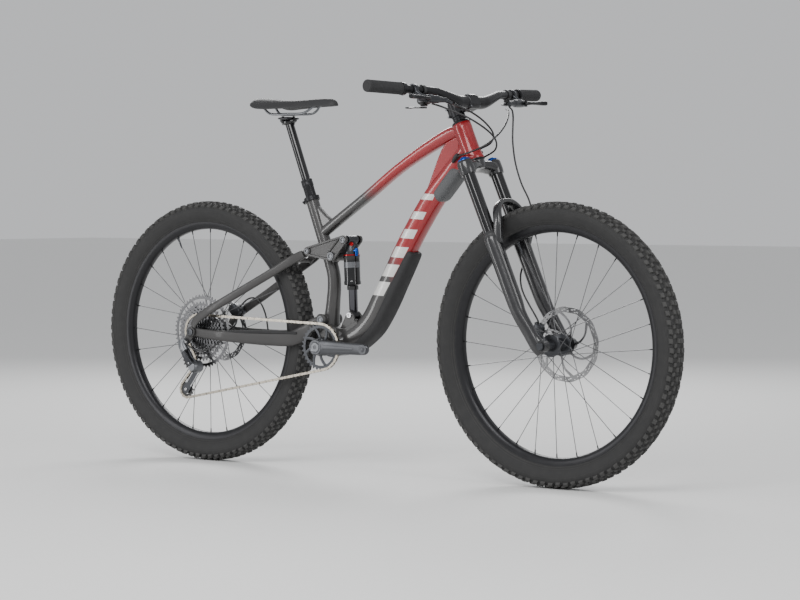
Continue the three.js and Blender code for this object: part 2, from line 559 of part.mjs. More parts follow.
const FLANGE_SIDE = 4;              // spokes sit this far each side of the flange's middle
const NIPPLE_R = RIM_INNER_RADIUS - 1.5;
function spokes(axle, { flanges, flangeRadius, lace }) {
  const spot = (radius, angle, y) =>
    v(axle.x + radius * Math.cos(angle), y, axle.z + radius * Math.sin(angle));
  let all = solid(turned(axle, Y_AXIS,
    [[NIPPLE_R - 1.4, -6], [NIPPLE_R, -6], [NIPPLE_R, 6], [NIPPLE_R - 1.4, 6]], WHEEL_SEGMENTS, true));
  const step = 2 * Math.PI / SPOKE_PAIRS;
  flanges.forEach((flange, side) => {
    for (let i = 0; i < SPOKE_PAIRS; i += 1) {
      for (const turn of [-1, 1]) {
        const rimAngle = (i + side / 2) * step + turn * step / 8;
        const hubAngle = rimAngle + turn * lace;
        const hubSpot = spot(flangeRadius, hubAngle, flange + turn * FLANGE_SIDE);
        const rimSpot = spot(NIPPLE_R - 0.8, rimAngle, Math.sign(flange) * 3);
        all = all.add(solid(rod(hubSpot, rimSpot, 1.2, 3)));
      }
    }
  });
  return all;
}

function rotor(axle, { rotorRadius, rotorY, rotorBolt }) {
  const track = turned(v(axle.x, rotorY, axle.z), Y_AXIS,
    [[rotorRadius - 15, -0.9], [rotorRadius, -0.9], [rotorRadius, 0.9], [rotorRadius - 15, 0.9]], 24, true);
  const carrier = turned(v(axle.x, rotorY, axle.z), Y_AXIS,
    [[rotorBolt, -0.9], [rotorBolt + 12, -0.9], [rotorBolt + 12, 0.9], [rotorBolt, 0.9]], 12, true);
  const arms = Array.from({ length: 5 }, (_, i) => {
    const angle = i * 0.4 * Math.PI;
    const from = v(axle.x + (rotorBolt + 8) * Math.cos(angle), rotorY, axle.z + (rotorBolt + 8) * Math.sin(angle));
    const to = v(axle.x + (rotorRadius - 10) * Math.cos(angle + 0.5), rotorY,
      axle.z + (rotorRadius - 10) * Math.sin(angle + 0.5));
    return loft([{ at: from, half: [0.9, 4], power: 4 }, { at: to, half: [0.9, 4], power: 4 }], 4);
  });
  return join(track, carrier, ...arms);
}

wheel('front', FRONT_AXLE, {
  hub: [[0, -55], [11, -55], [11, -36], [14, -33], [14, -29], [30, -28.5], [30, -25.5], [16, -24], [14, 0],
    [16, 19], [30, 20.5], [30, 23.5], [15.6, 24.5], [15.6, 50], [12, 51], [11, 55], [0, 55]],
  bore: 7.8, flanges: [-27, 22], flangeRadius: 26, lace: 1.15, rotorRadius: 100, rotorY: 47, rotorBolt: 16.8,
});
wheel('rear', REAR_AXLE, {
  hub: [[0, -74], [9, -74], [9, -32], [16, -30], [30, -24.6], [30, -21.4], [17, -20], [15, 0], [16, 26],
    [30, 29], [30, 32], [15.6, 34], [15.6, 60], [10, 61], [9, 74], [0, 74]],
  bore: 6.4, flanges: [-23, 30.5], flangeRadius: 27, lace: 1.15, rotorRadius: 90, rotorY: 57, rotorBolt: 16.8,
});

// ---- drivetrain ----

// The path of a belt or chain round signed circles: side 1 turns anticlockwise in [x, z], -1 clockwise.
// offset moves the path to the outside of the loop.
function beltPath(circles, offset = 0, stepAngle = 0.35) {
  const count = circles.length;
  const signed = circles.map(({ radius, side }) => side * (radius + side * offset));
  const headings = circles.map((from, i) => {
    const j = (i + 1) % count;
    const dx = circles[j].centre.x - from.centre.x;
    const dz = circles[j].centre.z - from.centre.z;
    return Math.atan2(dz, dx) - Math.asin((signed[j] - signed[i]) / Math.hypot(dx, dz));
  });
  const path = [];
  circles.forEach(({ centre, side }, i) => {
    const radius = Math.abs(signed[i]);
    const start = headings[(i + count - 1) % count] - side * Math.PI / 2;
    let sweep = headings[i] - side * Math.PI / 2 - start;
    sweep = side * (((side * sweep) % (2 * Math.PI) + 2 * Math.PI) % (2 * Math.PI));
    const steps = Math.max(1, Math.ceil(Math.abs(sweep) / stepAngle));
    for (let k = 0; k <= steps; k += 1) {
      const angle = start + sweep * k / steps;
      path.push([centre.x + radius * Math.cos(angle), centre.z + radius * Math.sin(angle)]);
    }
  });
  return path;
}

// A plate with round ends of two sizes.
const link = (a, b, radiusA, radiusB, low, high) => plate(
  beltPath([{ centre: a, radius: radiusA, side: 1 }, { centre: b, radius: radiusB, side: 1 }], 0, 0.7), low, high);

const CHAIN_HALF_WIDTH = 2.4;
const CHAIN_HALF_HEIGHT = 4.2;
const TEETH_CLEAR = CHAIN_HALF_HEIGHT + GAP;
const CHAIN_ROUTE = [
  { centre: CRANK, radius: gearRadius(RING_TEETH), side: 1 },
  { centre: REAR_AXLE, radius: gearRadius(COG_TEETH), side: 1 },
  { centre: GUIDE_PULLEY, radius: gearRadius(PULLEY_TEETH), side: -1 },
  { centre: TENSION_PULLEY, radius: gearRadius(PULLEY_TEETH), side: 1 },
];
add('chain', plate(beltPath(CHAIN_ROUTE, CHAIN_HALF_HEIGHT), CHAIN_Y - CHAIN_HALF_WIDTH,
  CHAIN_Y + CHAIN_HALF_WIDTH, [beltPath(CHAIN_ROUTE, -CHAIN_HALF_HEIGHT)]), 'steel');

const RING_R = gearRadius(RING_TEETH) - TEETH_CLEAR - 0.5;
const ringHoles = Array.from({ length: 5 }, (_, i) => circle(
  v(CRANK.x + 40 * Math.cos(i * 0.4 * Math.PI + 0.3), 0, CRANK.z + 40 * Math.sin(i * 0.4 * Math.PI + 0.3)), 9, 6));
add('chainring', cut(join(
  plate(circle(CRANK, RING_R, 32), CHAIN_Y - 1.6, CHAIN_Y + 1.6, ringHoles),
  axlePin(CRANK, CHAIN_Y - 4, CHAIN_Y + 4, 25, 16)), axlePin(CRANK, -100, 0, 15.4, 16)), 'dark');

function crankArm(side, spindle) {
  const tip = v(CRANK.x - side * CRANK_LENGTH, side * 78, CRANK.z);
  const arm = loft([
    station(CRANK.x + side * 17, side * 65, CRANK.z, 5, 15, 2.6), station(CRANK.x, side * 65, CRANK.z, 8, 21, 2.6),
    station(CRANK.x - side * 60, side * 68.5, CRANK.z, 7.5, 19, 2.6),
    station(CRANK.x - side * 120, side * 74, CRANK.z, 7, 16.5, 2.6),
    station(tip.x, tip.y, tip.z, 7, 15.5, 2.6), station(tip.x - side * 13, tip.y + side * 0.5, tip.z, 5, 9, 2.6),
  ], 12);
  const boss = axlePin(CRANK, side * 56, side * 75, 22, 16);
  return cut(join(arm, boss, axlePin(tip, side * 70.5, side * 86, 14)),
    axlePin(tip, side * 60, side * 100, 6.9), ...spindle);
}
add('crank_arm_right', cut(crankArm(-1, [])
  .add(solid(axlePin(CRANK, -60, 72, 15, 16)))
  .subtract(solid(axlePin(CRANK, -100, 100, 10, 12))), axlePin(CRANK, -100, -60, 11, 12)), 'dark');
add('crank_arm_left', crankArm(1, [axlePin(CRANK, 40, 100, 15.3, 16)]), 'dark');

const COG_STEP = 3.5;
const COGS = [10, 12, 14, 16, 18, 21, 24, 28, 32, 36, 42, 52];
const CHAIN_COG = COGS.indexOf(COG_TEETH);
const cogY = (i) => CHAIN_Y + (i - CHAIN_COG) * COG_STEP;
const cogEdge = (i) => gearRadius(COGS[i]) + 3;
const FREEHUB_R = 9.5;
const LAST = COGS.length - 1;
add('cassette', turned(v(REAR_AXLE.x, 0, REAR_AXLE.z), Y_AXIS, [
  [FREEHUB_R, cogY(0) - 1], [cogEdge(0), cogY(0) - 1], [cogEdge(4), cogY(4) - 1],
  [gearRadius(COG_TEETH) - TEETH_CLEAR - 1, cogY(CHAIN_COG) - CHAIN_HALF_WIDTH - GAP - 2],
  [gearRadius(COG_TEETH) - TEETH_CLEAR - 1, cogY(CHAIN_COG + 1) - 0.7],
  [cogEdge(7), cogY(7) - 0.7], [cogEdge(10), cogY(10) - 1], [cogEdge(LAST), cogY(LAST) - 1],
  [cogEdge(LAST), cogY(LAST) + 1], [92, cogY(LAST) + 1], [30, cogY(LAST - 5)],
  [19, cogY(LAST)], [FREEHUB_R, cogY(LAST)],
], 28, true), 'steel');

for (const [name, centre] of [['guide_pulley', GUIDE_PULLEY], ['tension_pulley', TENSION_PULLEY]]) {
  add(name, turned(v(centre.x, CHAIN_Y, centre.z), Y_AXIS,
    [[3.3, -1.4], [8, -1.4], [8, -1], [19.7, -1], [19.7, 1], [8, 1], [8, 1.4], [3.3, 1.4]], 14, true), 'dark');
}

function cage() {
  const outer = [CHAIN_Y - 6, CHAIN_Y - 4];
  const inner = [CHAIN_Y + 3.6, CHAIN_Y + 5.2];
  return join(
    link(CAGE_PIVOT, TENSION_PULLEY, 15, 13, ...outer), link(CAGE_PIVOT, GUIDE_PULLEY, 15, 9, ...outer),
    link(v(-628, 0, 262), TENSION_PULLEY, 9, 13, ...inner), link(v(-628, 0, 262), GUIDE_PULLEY, 9, 9, ...inner),
    ...[GUIDE_PULLEY, TENSION_PULLEY].map((p) => axlePin(p, CHAIN_Y - 5, CHAIN_Y + 4.4, 3, 8)));
}
add('derailleur_cage', cage(), 'dark');

add('derailleur_body', join(
  axlePin(HANGER, -99, -80.4, 12, 12), axlePin(CAGE_PIVOT, -92, CHAIN_Y - 6.4, 18, 14),
  loft([station(-634, -91, 352, 8, 8), station(-624, -92, 328, 10, 13), station(-610, -88, 300, 12, 15),
    station(-598, -80, 280, 10, 13)], 8)), 'dark');

// ---- rear suspension ----
const HANGER_FACE = [-80, -74.6];
function chainstays() {
  const arm = (s) => loft([
    station(-160, s * 34, 424, 6.5, 14, 3), station(-192, s * 35, 412, 7, 15, 3),
    station(-222, s * 38, 384, 7, 22, 3), station(-262, s * 46, 367, 7.5, 21, 3),
    station(-327, s * 53.5, 366, 7.5, 20, 3), station(-400, s * 64, 367, 7.5, 18, 3),
    station(-490, s * 78, 370, 6.5, 15, 3), station(-560, s * 78.5, 374, 5, 13, 3),
    station(-596, s * 77.3, 378, 2.7, 12, 3),
  ], 8);
  const parts = bothSides((s) => join(arm(s),
    axlePin(SWING_PIVOT, Math.min(s * 27, s * 41), Math.max(s * 27, s * 41), 17),
    axlePin(REAR_AXLE, Math.min(s * 74.6, s * 80), Math.max(s * 74.6, s * 80), 16, 14)));
  const bridge = loft([station(-208, -36, 402, 9, 15, 3), station(-208, 36, 402, 9, 15, 3)], 8, v(1, 0, 0));
  const pin = axlePin(SWING_PIVOT, -43, 43, 8, 16);
  return cut(parts[0].add(parts[1]).add(join(bridge, pin, link(REAR_AXLE, HANGER, 15, 9, ...HANGER_FACE))),
    axlePin(REAR_AXLE, -120, 120, 6.3));
}
add('chainstays', chainstays(), 'frame');

const STAY_FACE = [80.7, 87];
function seatstays() {
  const arm = (s) => join(
    loft([station(-600, s * 83.8, 392, 3, 9, 3), station(-588, s * 83.8, 412, 3.1, 11, 3),
      station(-520, s * 82, 451, 6, 12, 3), station(-437, s * 72, 494, 6.5, 12, 3),
      station(-340, s * 56, 546, 6.5, 12, 3), station(-266, s * 46, 586, 6.5, 12, 3),
      station(-230, s * 37, 605, 5.5, 11, 3)], 8),
    loft([station(-266, s * 42, 586, 4, 10, 3), station(-242, s * 27, 600, 3.8, 10, 3),
      station(-212, s * 25.5, 615, 3.8, 10, 3)], 8),
    axlePin(ROCKER_STAY, Math.min(s * 21.5, s * 29.6), Math.max(s * 21.5, s * 29.6), 11),
    axlePin(REAR_AXLE, Math.min(s * STAY_FACE[0], s * STAY_FACE[1]), Math.max(s * STAY_FACE[0], s * STAY_FACE[1]), 15, 14));
  const bridge = loft([station(-262, -47, 589, 10, 7, 3), station(-262, 47, 589, 10, 7, 3)], 8, v(1, 0, 0.5));
  return cut(join(bridge).add(arm(1)).add(arm(-1)), axlePin(REAR_AXLE, -120, 120, 6.5));
}
add('seatstays', seatstays(), 'frame');

add('rear_axle', join(axlePin(REAR_AXLE, -90, 90, 6), axlePin(REAR_AXLE, 87.4, 91, 10),
  axlePin(REAR_AXLE, -91, -87.4, 10)), 'dark');

function rocker() {
  const side = (s) => {
    const [low, high] = [Math.min(s * 30, s * 38), Math.max(s * 30, s * 38)];
    return join(link(ROCKER_STAY, ROCKER_PIVOT, 12, 13, low, high), link(ROCKER_STAY, ROCKER_SHOCK, 12, 12, low, high),
      link(ROCKER_PIVOT, ROCKER_SHOCK, 13, 12, low, high),
      axlePin(ROCKER_SHOCK, Math.min(s * 23, s * 41), Math.max(s * 23, s * 41), 8),
      axlePin(ROCKER_STAY, Math.min(s * 38, s * 40), Math.max(s * 38, s * 40), 8));
  };
  return side(1).add(side(-1)).add(solid(axlePin(ROCKER_PIVOT, -41, 41, 8, 16)))
    .subtract(solid(plate([[-128, 628], [-106, 644], [-112, 618]], -50, 50)));
}
add('rocker_link', rocker(), 'frame');

const shock = (up) => along(SHOCK_FOOT, SHOCK_UP, up);
const SHAFT_R = 12.5;
const CAN_LOW = 70;
const BORE_TOP = 186;
add('shock_shaft', join(axlePin(SHOCK_FOOT, -13, 13, 11),
  turned(SHOCK_FOOT, SHOCK_UP, [[0, 0], [11, 0], [11, 12], [SHAFT_R, 15], [SHAFT_R, 120], [0, 120]], 20)), 'steel');
add('shock_can', join(turned(SHOCK_FOOT, SHOCK_UP, [
  [SHAFT_R + GAP, CAN_LOW], [16, CAN_LOW], [16, 82], [24, 84], [24, 94], [22.8, 96], [22.8, 160], [23.6, 161],
  [23.6, 166], [20, 168], [19, 190], [14, 202], [0, 202], [0, BORE_TOP], [SHAFT_R + GAP, BORE_TOP],
], 16, true), axlePin(ROCKER_SHOCK, -22, 22, 12), rod(shock(176).add(v(14, 0, 0)), shock(196).add(v(16, 0, 2)), 9, 10),
rod(shock(178).add(v(10, -8, 0)), shock(178).add(v(30, -8, 0)), 5, 8)), 'black');

// ---- brake calipers ----
const FRONT_CALIPER = steer(-484, -23);
const REAR_CALIPER = v(-551, 0, 437);
// The body straddles the rotor: reach is the distance from the axle to the body's middle.
function caliper(axle, direction, reach, rotorRadius, low, high, rotorY) {
  const outward = direction.clone().normalize();
  const sideways = v(-outward.z, 0, outward.x);
  const middle = along(axle, outward, reach);
  const face = (y, half) => ({ at: v(middle.x, y, middle.z), half, power: 3 });
  const body = loft([face(low, [15, 12]), face(low + 4, [22, 17]), face(high - 4, [22, 17]), face(high, [15, 12])],
    8, sideways);
  const slotOuter = rotorRadius + 2 - reach;
  const slotMiddle = along(middle, outward, slotOuter - 25).add(v(0, rotorY, 0));
  const slot = loft([{ at: along(slotMiddle, sideways, -40), half: [2.2, 25], power: 40 },
    { at: along(slotMiddle, sideways, 40), half: [2.2, 25], power: 40 }], 4);
  return cut(join(body), slot);
}
add('front_caliper', caliper(FRONT_AXLE, FRONT_CALIPER.clone().sub(FRONT_AXLE), FRONT_CALIPER.distanceTo(FRONT_AXLE),
  100, 35, 51.5, 47), 'dark');
add('rear_caliper', caliper(REAR_AXLE, REAR_CALIPER.clone().sub(REAR_AXLE), REAR_CALIPER.distanceTo(REAR_AXLE),
  90, 42, 74, 57), 'dark');

// ---- hoses and housings ----
const HOSE_R = 2.5;
add('front_brake_hose', cable([
  v(364, 130, 1012), v(381, 118, 1003), v(394, 104, 984), v(400, 94, 955), v(404, 88, 915), v(414, 86, 860),
  v(432, 88, 805), v(455, 94, 755), v(466, 97, 700), v(455, 97, 640), v(446, 84, 595), v(449, 60, 555),
  v(468, 46, 510), v(FRONT_CALIPER.x - 3, 43.5, FRONT_CALIPER.z + 32), v(FRONT_CALIPER.x, 43.5, FRONT_CALIPER.z + 24),
], HOSE_R, 32), 'black');
add('rear_brake_hose', cable([
  v(364, -130, 1012), v(381, -112, 1003), v(395, -70, 984), v(399, -25, 960), v(393, 12, 935), v(368, 34, 912),
  v(336, 28.5, 901),
], HOSE_R, 16), 'black');
add('shift_housing', cable([
  v(321, -170, 1014), v(345, -150, 1004), v(380, -95, 980), v(402, -40, 950), v(404, 5, 922), v(386, 32, 896),
  v(352, 36, 878), v(331, 29.5, 872),
], HOSE_R, 18), 'black');
add('dropper_housing', cable([
  v(312, 190, 1010), v(345, 152, 1002), v(384, 95, 985), v(410, 40, 958), v(415, -5, 930), v(392, -36, 902),
  v(345, -38, 886), v(300, -31, 878),
], HOSE_R, 18), 'black');
add('rear_hose_tail', cable([
  v(REAR_CALIPER.x + 13, 60, REAR_CALIPER.z + 14.6), v(-514, 62, 470), v(-489, 65, 474), v(-468, 68, 458),
  v(-452, 70, 425), v(-440, 69, 389),
], HOSE_R, 12), 'black');
add('shift_housing_tail', cable([
  v(-500, -79, 352), v(-520, -83, 338), v(-545, -88, 328), v(-575, -92, 326), v(-598, -94, 334), v(-615, -94, 346),
], HOSE_R, 11), 'black');

export default bike;
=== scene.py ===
"""The looks of a full-suspension mountain bike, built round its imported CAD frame.

Lengths in the tables are millimetres; every mesh is written in metres, in the frame's own axes:
+X forward, +Y to the rider's left, +Z up, origin on the ground midway between the axles.
"""
import math
import bpy
import bmesh
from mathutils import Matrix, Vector


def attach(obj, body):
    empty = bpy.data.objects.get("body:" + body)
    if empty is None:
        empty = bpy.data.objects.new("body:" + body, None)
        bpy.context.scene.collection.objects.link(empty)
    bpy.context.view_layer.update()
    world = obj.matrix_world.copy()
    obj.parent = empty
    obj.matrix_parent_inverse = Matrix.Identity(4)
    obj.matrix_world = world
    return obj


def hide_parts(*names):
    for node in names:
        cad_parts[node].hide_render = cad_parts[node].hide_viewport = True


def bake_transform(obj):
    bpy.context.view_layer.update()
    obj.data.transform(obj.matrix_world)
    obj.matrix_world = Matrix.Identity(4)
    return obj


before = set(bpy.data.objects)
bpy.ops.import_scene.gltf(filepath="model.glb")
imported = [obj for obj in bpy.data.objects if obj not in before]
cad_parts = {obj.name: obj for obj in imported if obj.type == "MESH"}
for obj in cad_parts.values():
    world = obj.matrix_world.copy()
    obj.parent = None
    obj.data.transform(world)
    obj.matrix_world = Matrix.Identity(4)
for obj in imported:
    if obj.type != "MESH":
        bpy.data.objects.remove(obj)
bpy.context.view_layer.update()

MM = 0.001
X = Vector((1, 0, 0))
Y = Vector((0, 1, 0))
Z = Vector((0, 0, 1))


def v(x, y, z):
    return Vector((x, y, z))


# ---- fixed points of the bike ----
REAR_AXLE = v(-605, 0, 378)
FRONT_AXLE = v(605, 0, 378)
CRANK = v(-152, 0, 349)
SWING_PIVOT = v(-160, 0, 424)
ROCKER_PIVOT = v(-125, 0, 603)
ROCKER_SHOCK = v(-82, 0, 649)
ROCKER_STAY = v(-210, 0, 616)
SHOCK_FOOT = v(-72, 0, 439)
HANGER = v(-630, 0, 346)
CAGE_PIVOT = v(-598, 0, 277)
GUIDE_PULLEY = v(-640, 0, 292)
TENSION_PULLEY = v(-650, 0, 208)
CHAIN_Y = -50.5
PITCH = 12.7
HEAD_ANGLE = math.radians(66)
STEER_UP = v(-math.cos(HEAD_ANGLE), 0, math.sin(HEAD_ANGLE))
STEER_FORWARD = v(math.sin(HEAD_ANGLE), 0, math.cos(HEAD_ANGLE))
CROWN_SEAT = FRONT_AXLE - STEER_FORWARD * 44 + STEER_UP * 549
SEAT_ANGLE = math.radians(69.1)
POST_UP = v(-math.cos(SEAT_ANGLE), 0, math.sin(SEAT_ANGLE))
POST_FORWARD = v(math.sin(SEAT_ANGLE), 0, math.cos(SEAT_ANGLE))
SEAT_TOP = v(-224, 0, 768)
LEG_SPREAD = 65
LEG_FORWARD = 10
BAR = CROWN_SEAT + STEER_UP * 153 + STEER_FORWARD * 50
SHOCK_UP = (ROCKER_SHOCK - SHOCK_FOOT).normalized()


def steer(up, forward=0, side=0):
    return CROWN_SEAT + STEER_UP * up + STEER_FORWARD * forward + Y * side


def post(up):
    return SEAT_TOP + POST_UP * up


def shock(up):
    return SHOCK_FOOT + SHOCK_UP * up


def at_y(point, y):
    return v(point.x, y, point.z)


def bar_line(side):
    return [BAR, BAR + v(0, side * 45, 0), BAR + v(2, side * 72, 4), BAR + v(-5, side * 130, 20.5),
            BAR + v(-11, side * 160, 25.5), BAR + v(-49, side * 390, 32.5)]


def bar_inward(side):
    line = bar_line(side)
    return (line[4] - line[5]).normalized()


def on_bar(side, from_end):
    return bar_line(side)[5] + bar_inward(side) * from_end


def gear_radius(teeth):
    return PITCH / (2 * math.sin(math.pi / teeth))


# ---- shapes: each returns (vertices, faces) ----
def spline(values, t):
    """Catmull-Rom through tuples of numbers; t runs from 0 to len(values) - 1."""
    i = min(int(t), len(values) - 2)
    f = t - i
    last = len(values) - 1
    four = [values[max(i - 1, 0)], values[i], values[i + 1], values[min(i + 2, last)]]
    return [0.5 * (2 * b + (c - a) * f + (2 * a - 5 * b + 4 * c - d) * f * f
                   + (3 * b - a - 3 * c + d) * f ** 3)
            for a, b, c, d in zip(*four)]


def grid_faces(rows, columns, closed_rows=False):
    faces = []
    for k in range(rows if closed_rows else rows - 1):
        for i in range(columns):
            j = (i + 1) % columns
            n = (k + 1) % rows
            faces.append((k * columns + i, k * columns + j, n * columns + j, n * columns + i))
    return faces


def sweep(stations, sides=24, steps=5, across=Y):
    """A tube through stations (point, half across, half deep, power), with flat ends."""
    table = [(*s[0], s[1], s[2], s[3] if len(s) > 3 else 2) for s in stations]
    count = (len(table) - 1) * steps
    rows = [spline(table, k / steps) for k in range(count + 1)]
    centres = [Vector(row[:3]) for row in rows]
    verts = []
    for k, row in enumerate(rows):
        ahead = (centres[min(k + 1, count)] - centres[max(k - 1, 0)]).normalized()
        side = (across - ahead * across.dot(ahead)).normalized()
        up = ahead.cross(side)
        for i in range(sides):
            angle = 2 * math.pi * (i + 0.5) / sides
            c = math.cos(angle)
            s = math.sin(angle)
            wide = math.copysign(abs(c) ** (2 / row[5]), c) * row[3]
            deep = math.copysign(abs(s) ** (2 / row[5]), s) * row[4]
            verts.append(centres[k] + side * wide + up * deep)
    faces = grid_faces(count + 1, sides)
    faces.append(tuple(range(sides)))
    faces.append(tuple(range(count * sides, (count + 1) * sides)))
    return verts, faces


def hose(points, radius, sides=10, steps=8):
    return sweep([(p, radius, radius) for p in points], sides, steps, v(0.31, 0.9, 0.2).normalized())


def basis(direction):
    direction = direction.normalized()
    other = X if abs(direction.x) < 0.9 else Z
    first = (other - direction * other.dot(direction)).normalized()
    return first, direction.cross(first)


def turn(at, direction, profile, segments=40):
    """A turned shape from (radius, distance) pairs. It ends on the axis, or closes on itself as a ring."""
    first, second = basis(direction)
    direction = direction.normalized()
    verts = []
    for radius, distance in profile:
        for i in range(segments):
            angle = 2 * math.pi * i / segments
            spread = first * math.cos(angle) + second * math.sin(angle)
            verts.append(at + direction * distance + spread * max(radius, 0.01))
    ring = profile[0][0] > 0 and profile[-1][0] > 0
    faces = grid_faces(len(profile), segments, ring)
    if not ring:
        faces.append(tuple(range(segments)))
        faces.append(tuple(range((len(profile) - 1) * segments, len(profile) * segments)))
    return verts, faces


def rod(start, end, radius, chamfer=0.6, segments=24):
    length = (end - start).length
    inner = radius - chamfer
    return turn(start, end - start, [
        (0, 0), (inner, 0), (radius, chamfer), (radius, length - chamfer), (inner, length), (0, length)],
        segments)


def pin(point, low, high, radius, chamfer=0.8, segments=32):
    return rod(at_y(point, low), at_y(point, high), radius, chamfer, segments)


def bolt(at, direction, radius=4, height=4):
    """A round bolt head with a sunk socket."""
    hole = radius * 0.5
    return turn(at, direction, [
        (0, height * 0.35), (hole, height * 0.35), (hole, height - 0.3), (hole + 0.3, height),
        (radius - 0.6, height), (radius, height - 0.6), (radius, 0), (0, 0)], 20)


def plate(outline, low, high):
    """A plate across the bike from an outline of (x, z), between two y planes."""
    count = len(outline)
    verts = [v(x, y, z) for y in (low, high) for x, z in outline]
    faces = [(i, (i + 1) % count, count + (i + 1) % count, count + i) for i in range(count)]
    faces.append(tuple(range(count)))
    faces.append(tuple(range(count, 2 * count)))
    return verts, faces


def ring_plate(outer, inner, low, high):
    """A flat ring between two outlines with the same number of (x, z) points."""
    count = len(outer)
    verts = [v(x, y, z) for x, z, y in
             [(x, z, low) for x, z in outer] + [(x, z, low) for x, z in inner]
             + [(x, z, high) for x, z in inner] + [(x, z, high) for x, z in outer]]
    return verts, grid_faces(4, count, True)


def belt_path(circles, step=0.15):
    """Points along a belt round (centre, radius, side) circles.

    side is 1 for a circle inside the loop, and -1 for one outside.
    """
    count = len(circles)
    signed = [side * radius for _, radius, side in circles]
    headings = []
    for i, (centre, _, _) in enumerate(circles):
        other = circles[(i + 1) % count][0]
        dx = other.x - centre.x
        dz = other.z - centre.z
        slant = math.asin((signed[(i + 1) % count] - signed[i]) / math.hypot(dx, dz))
        headings.append(math.atan2(dz, dx) - slant)
    path = []
    for i, (centre, radius, side) in enumerate(circles):
        start = headings[i - 1] - side * math.pi / 2
        turned = side * ((side * (headings[i] - side * math.pi / 2 - start)) % (2 * math.pi))
        steps = max(1, math.ceil(abs(turned) / step))
        for k in range(steps + 1):
            angle = start + turned * k / steps
            path.append((centre.x + radius * math.cos(angle), centre.z + radius * math.sin(angle)))
    return path


def link_plate(a, b, radius_a, radius_b, low, high):
    return plate(belt_path([(a, radius_a, 1), (b, radius_b, 1)], 0.35), low, high)


def toothed(centre, teeth, y, thickness, hole, tip=2.6, root=4.2):
    """A sprocket: pointed teeth round a ring with a round hole."""
    radius = gear_radius(teeth)
    outer = []
    inner = []
    for i in range(teeth * 6):
        phase = (i % 6) / 6
        height = max(0.0, math.cos(2 * math.pi * phase)) ** 0.8
        r = radius - root + (tip + root) * height
        angle = 2 * math.pi * i / (teeth * 6)
        outer.append((centre.x + r * math.cos(angle), centre.z + r * math.sin(angle)))
        inner.append((centre.x + hole * math.cos(angle), centre.z + hole * math.sin(angle)))
    return ring_plate(outer, inner, y - thickness / 2, y + thickness / 2)


# ---- materials ----
class Shader:
    """Short names for building one material's nodes."""

    def __init__(self, name):
        self.material = bpy.data.materials.new(name)
        self.material.use_nodes = True
        self.tree = self.material.node_tree
        self.surface = self.tree.nodes["Principled BSDF"]
        self.place = self.tree.nodes.new("ShaderNodeTexCoord").outputs["Object"]

    def node(self, kind, inputs, **settings):
        made = self.tree.nodes.new(kind)
        for key, value in settings.items():
            setattr(made, key, value)
        for key, value in inputs.items():
            if isinstance(value, bpy.types.NodeSocket):
                self.tree.links.new(value, made.inputs[key])
            else:
                made.inputs[key].default_value = value
        return made

    def math(self, operation, a, b=0.0, clamp=False):
        return self.node("ShaderNodeMath", {0: a, 1: b}, operation=operation, use_clamp=clamp).outputs[0]

    def mix(self, factor, a, b):
        made = self.node("ShaderNodeMix", {0: factor}, data_type="RGBA")
        for socket, value in ((6, a), (7, b)):
            if isinstance(value, bpy.types.NodeSocket):
                self.tree.links.new(value, made.inputs[socket])
            else:
                made.inputs[socket].default_value = (*value, 1)
        return made.outputs[2]

    def noise(self, scale, detail=4.0, rough=0.55):
        return self.node("ShaderNodeTexNoise", {
            "Vector": self.place, "Scale": scale, "Detail": detail, "Roughness": rough}).outputs["Fac"]

    def spread(self, value, low, high, to_low=0.0, to_high=1.0):
        return self.node("ShaderNodeMapRange", {
            "Value": value, "From Min": low, "From Max": high, "To Min": to_low,
            "To Max": to_high}).outputs[0]

    def along(self, direction, origin):
        """Distance in metres from an origin, along a direction in the bike's frame."""
        dot = self.node("ShaderNodeVectorMath", {0: self.place, 1: direction}, operation="DOT_PRODUCT")
        offset = -sum(a * b for a, b in zip(origin, direction))
        return self.math("ADD", dot.outputs["Value"], offset)

    def set(self, **values):
        for key, value in values.items():
            socket = self.surface.inputs[key.replace("_", " ")]
            if isinstance(value, bpy.types.NodeSocket):
                self.tree.links.new(value, socket)
            else:
                socket.default_value = value

    def bump(self, height, strength, distance):
        made = self.node("ShaderNodeBump", {"Height": height, "Strength": strength, "Distance": distance})
        self.tree.links.new(made.outputs[0], self.surface.inputs["Normal"])


def finish(name, color, roughness, metallic=0.0, grain=900.0, strength=0.12, vary=0.12, coat=0.0,
    distance=0.0002):
    """A surface with slight colour changes, uneven gloss and a fine grain."""
    s = Shader(name)
    blotch = s.noise(38.0)
    fine = s.noise(grain, 5.0, 0.65)
    low = tuple(c * (1 - vary) for c in color)
    high = tuple(min(1.0, c * (1 + vary) + 0.004) for c in color)
    s.set(Base_Color=s.mix(blotch, low, high), Metallic=metallic, Coat_Weight=coat, Coat_Roughness=0.08)
    s.set(Roughness=s.spread(s.math("MULTIPLY", blotch, fine), 0.1, 0.5, roughness * 0.82,
        min(1.0, roughness * 1.2)))
    s.bump(fine, strength, distance)
    return s.material


def brushed(name, color, roughness, vary=0.15):
    """Bare metal with a fine grain in its colour and gloss."""
    s = Shader(name)
    lines = s.node("ShaderNodeTexNoise",
        {"Vector": s.place, "Scale": 1400.0, "Detail": 3.0}).outputs["Fac"]
    low = tuple(c * (1 - vary) for c in color)
    s.set(Base_Color=s.mix(lines, low, color), Metallic=1.0)
    s.set(Roughness=s.spread(lines, 0.2, 0.8, roughness * 0.8, roughness * 1.25))
    s.bump(lines, 0.1, 0.0001)
    return s.material


RED = (0.27, 0.0035, 0.007)
CHARCOAL = (0.036, 0.0345, 0.034)
SILVER = (0.6, 0.6, 0.58)
BLUE = (0.006, 0.07, 0.36)
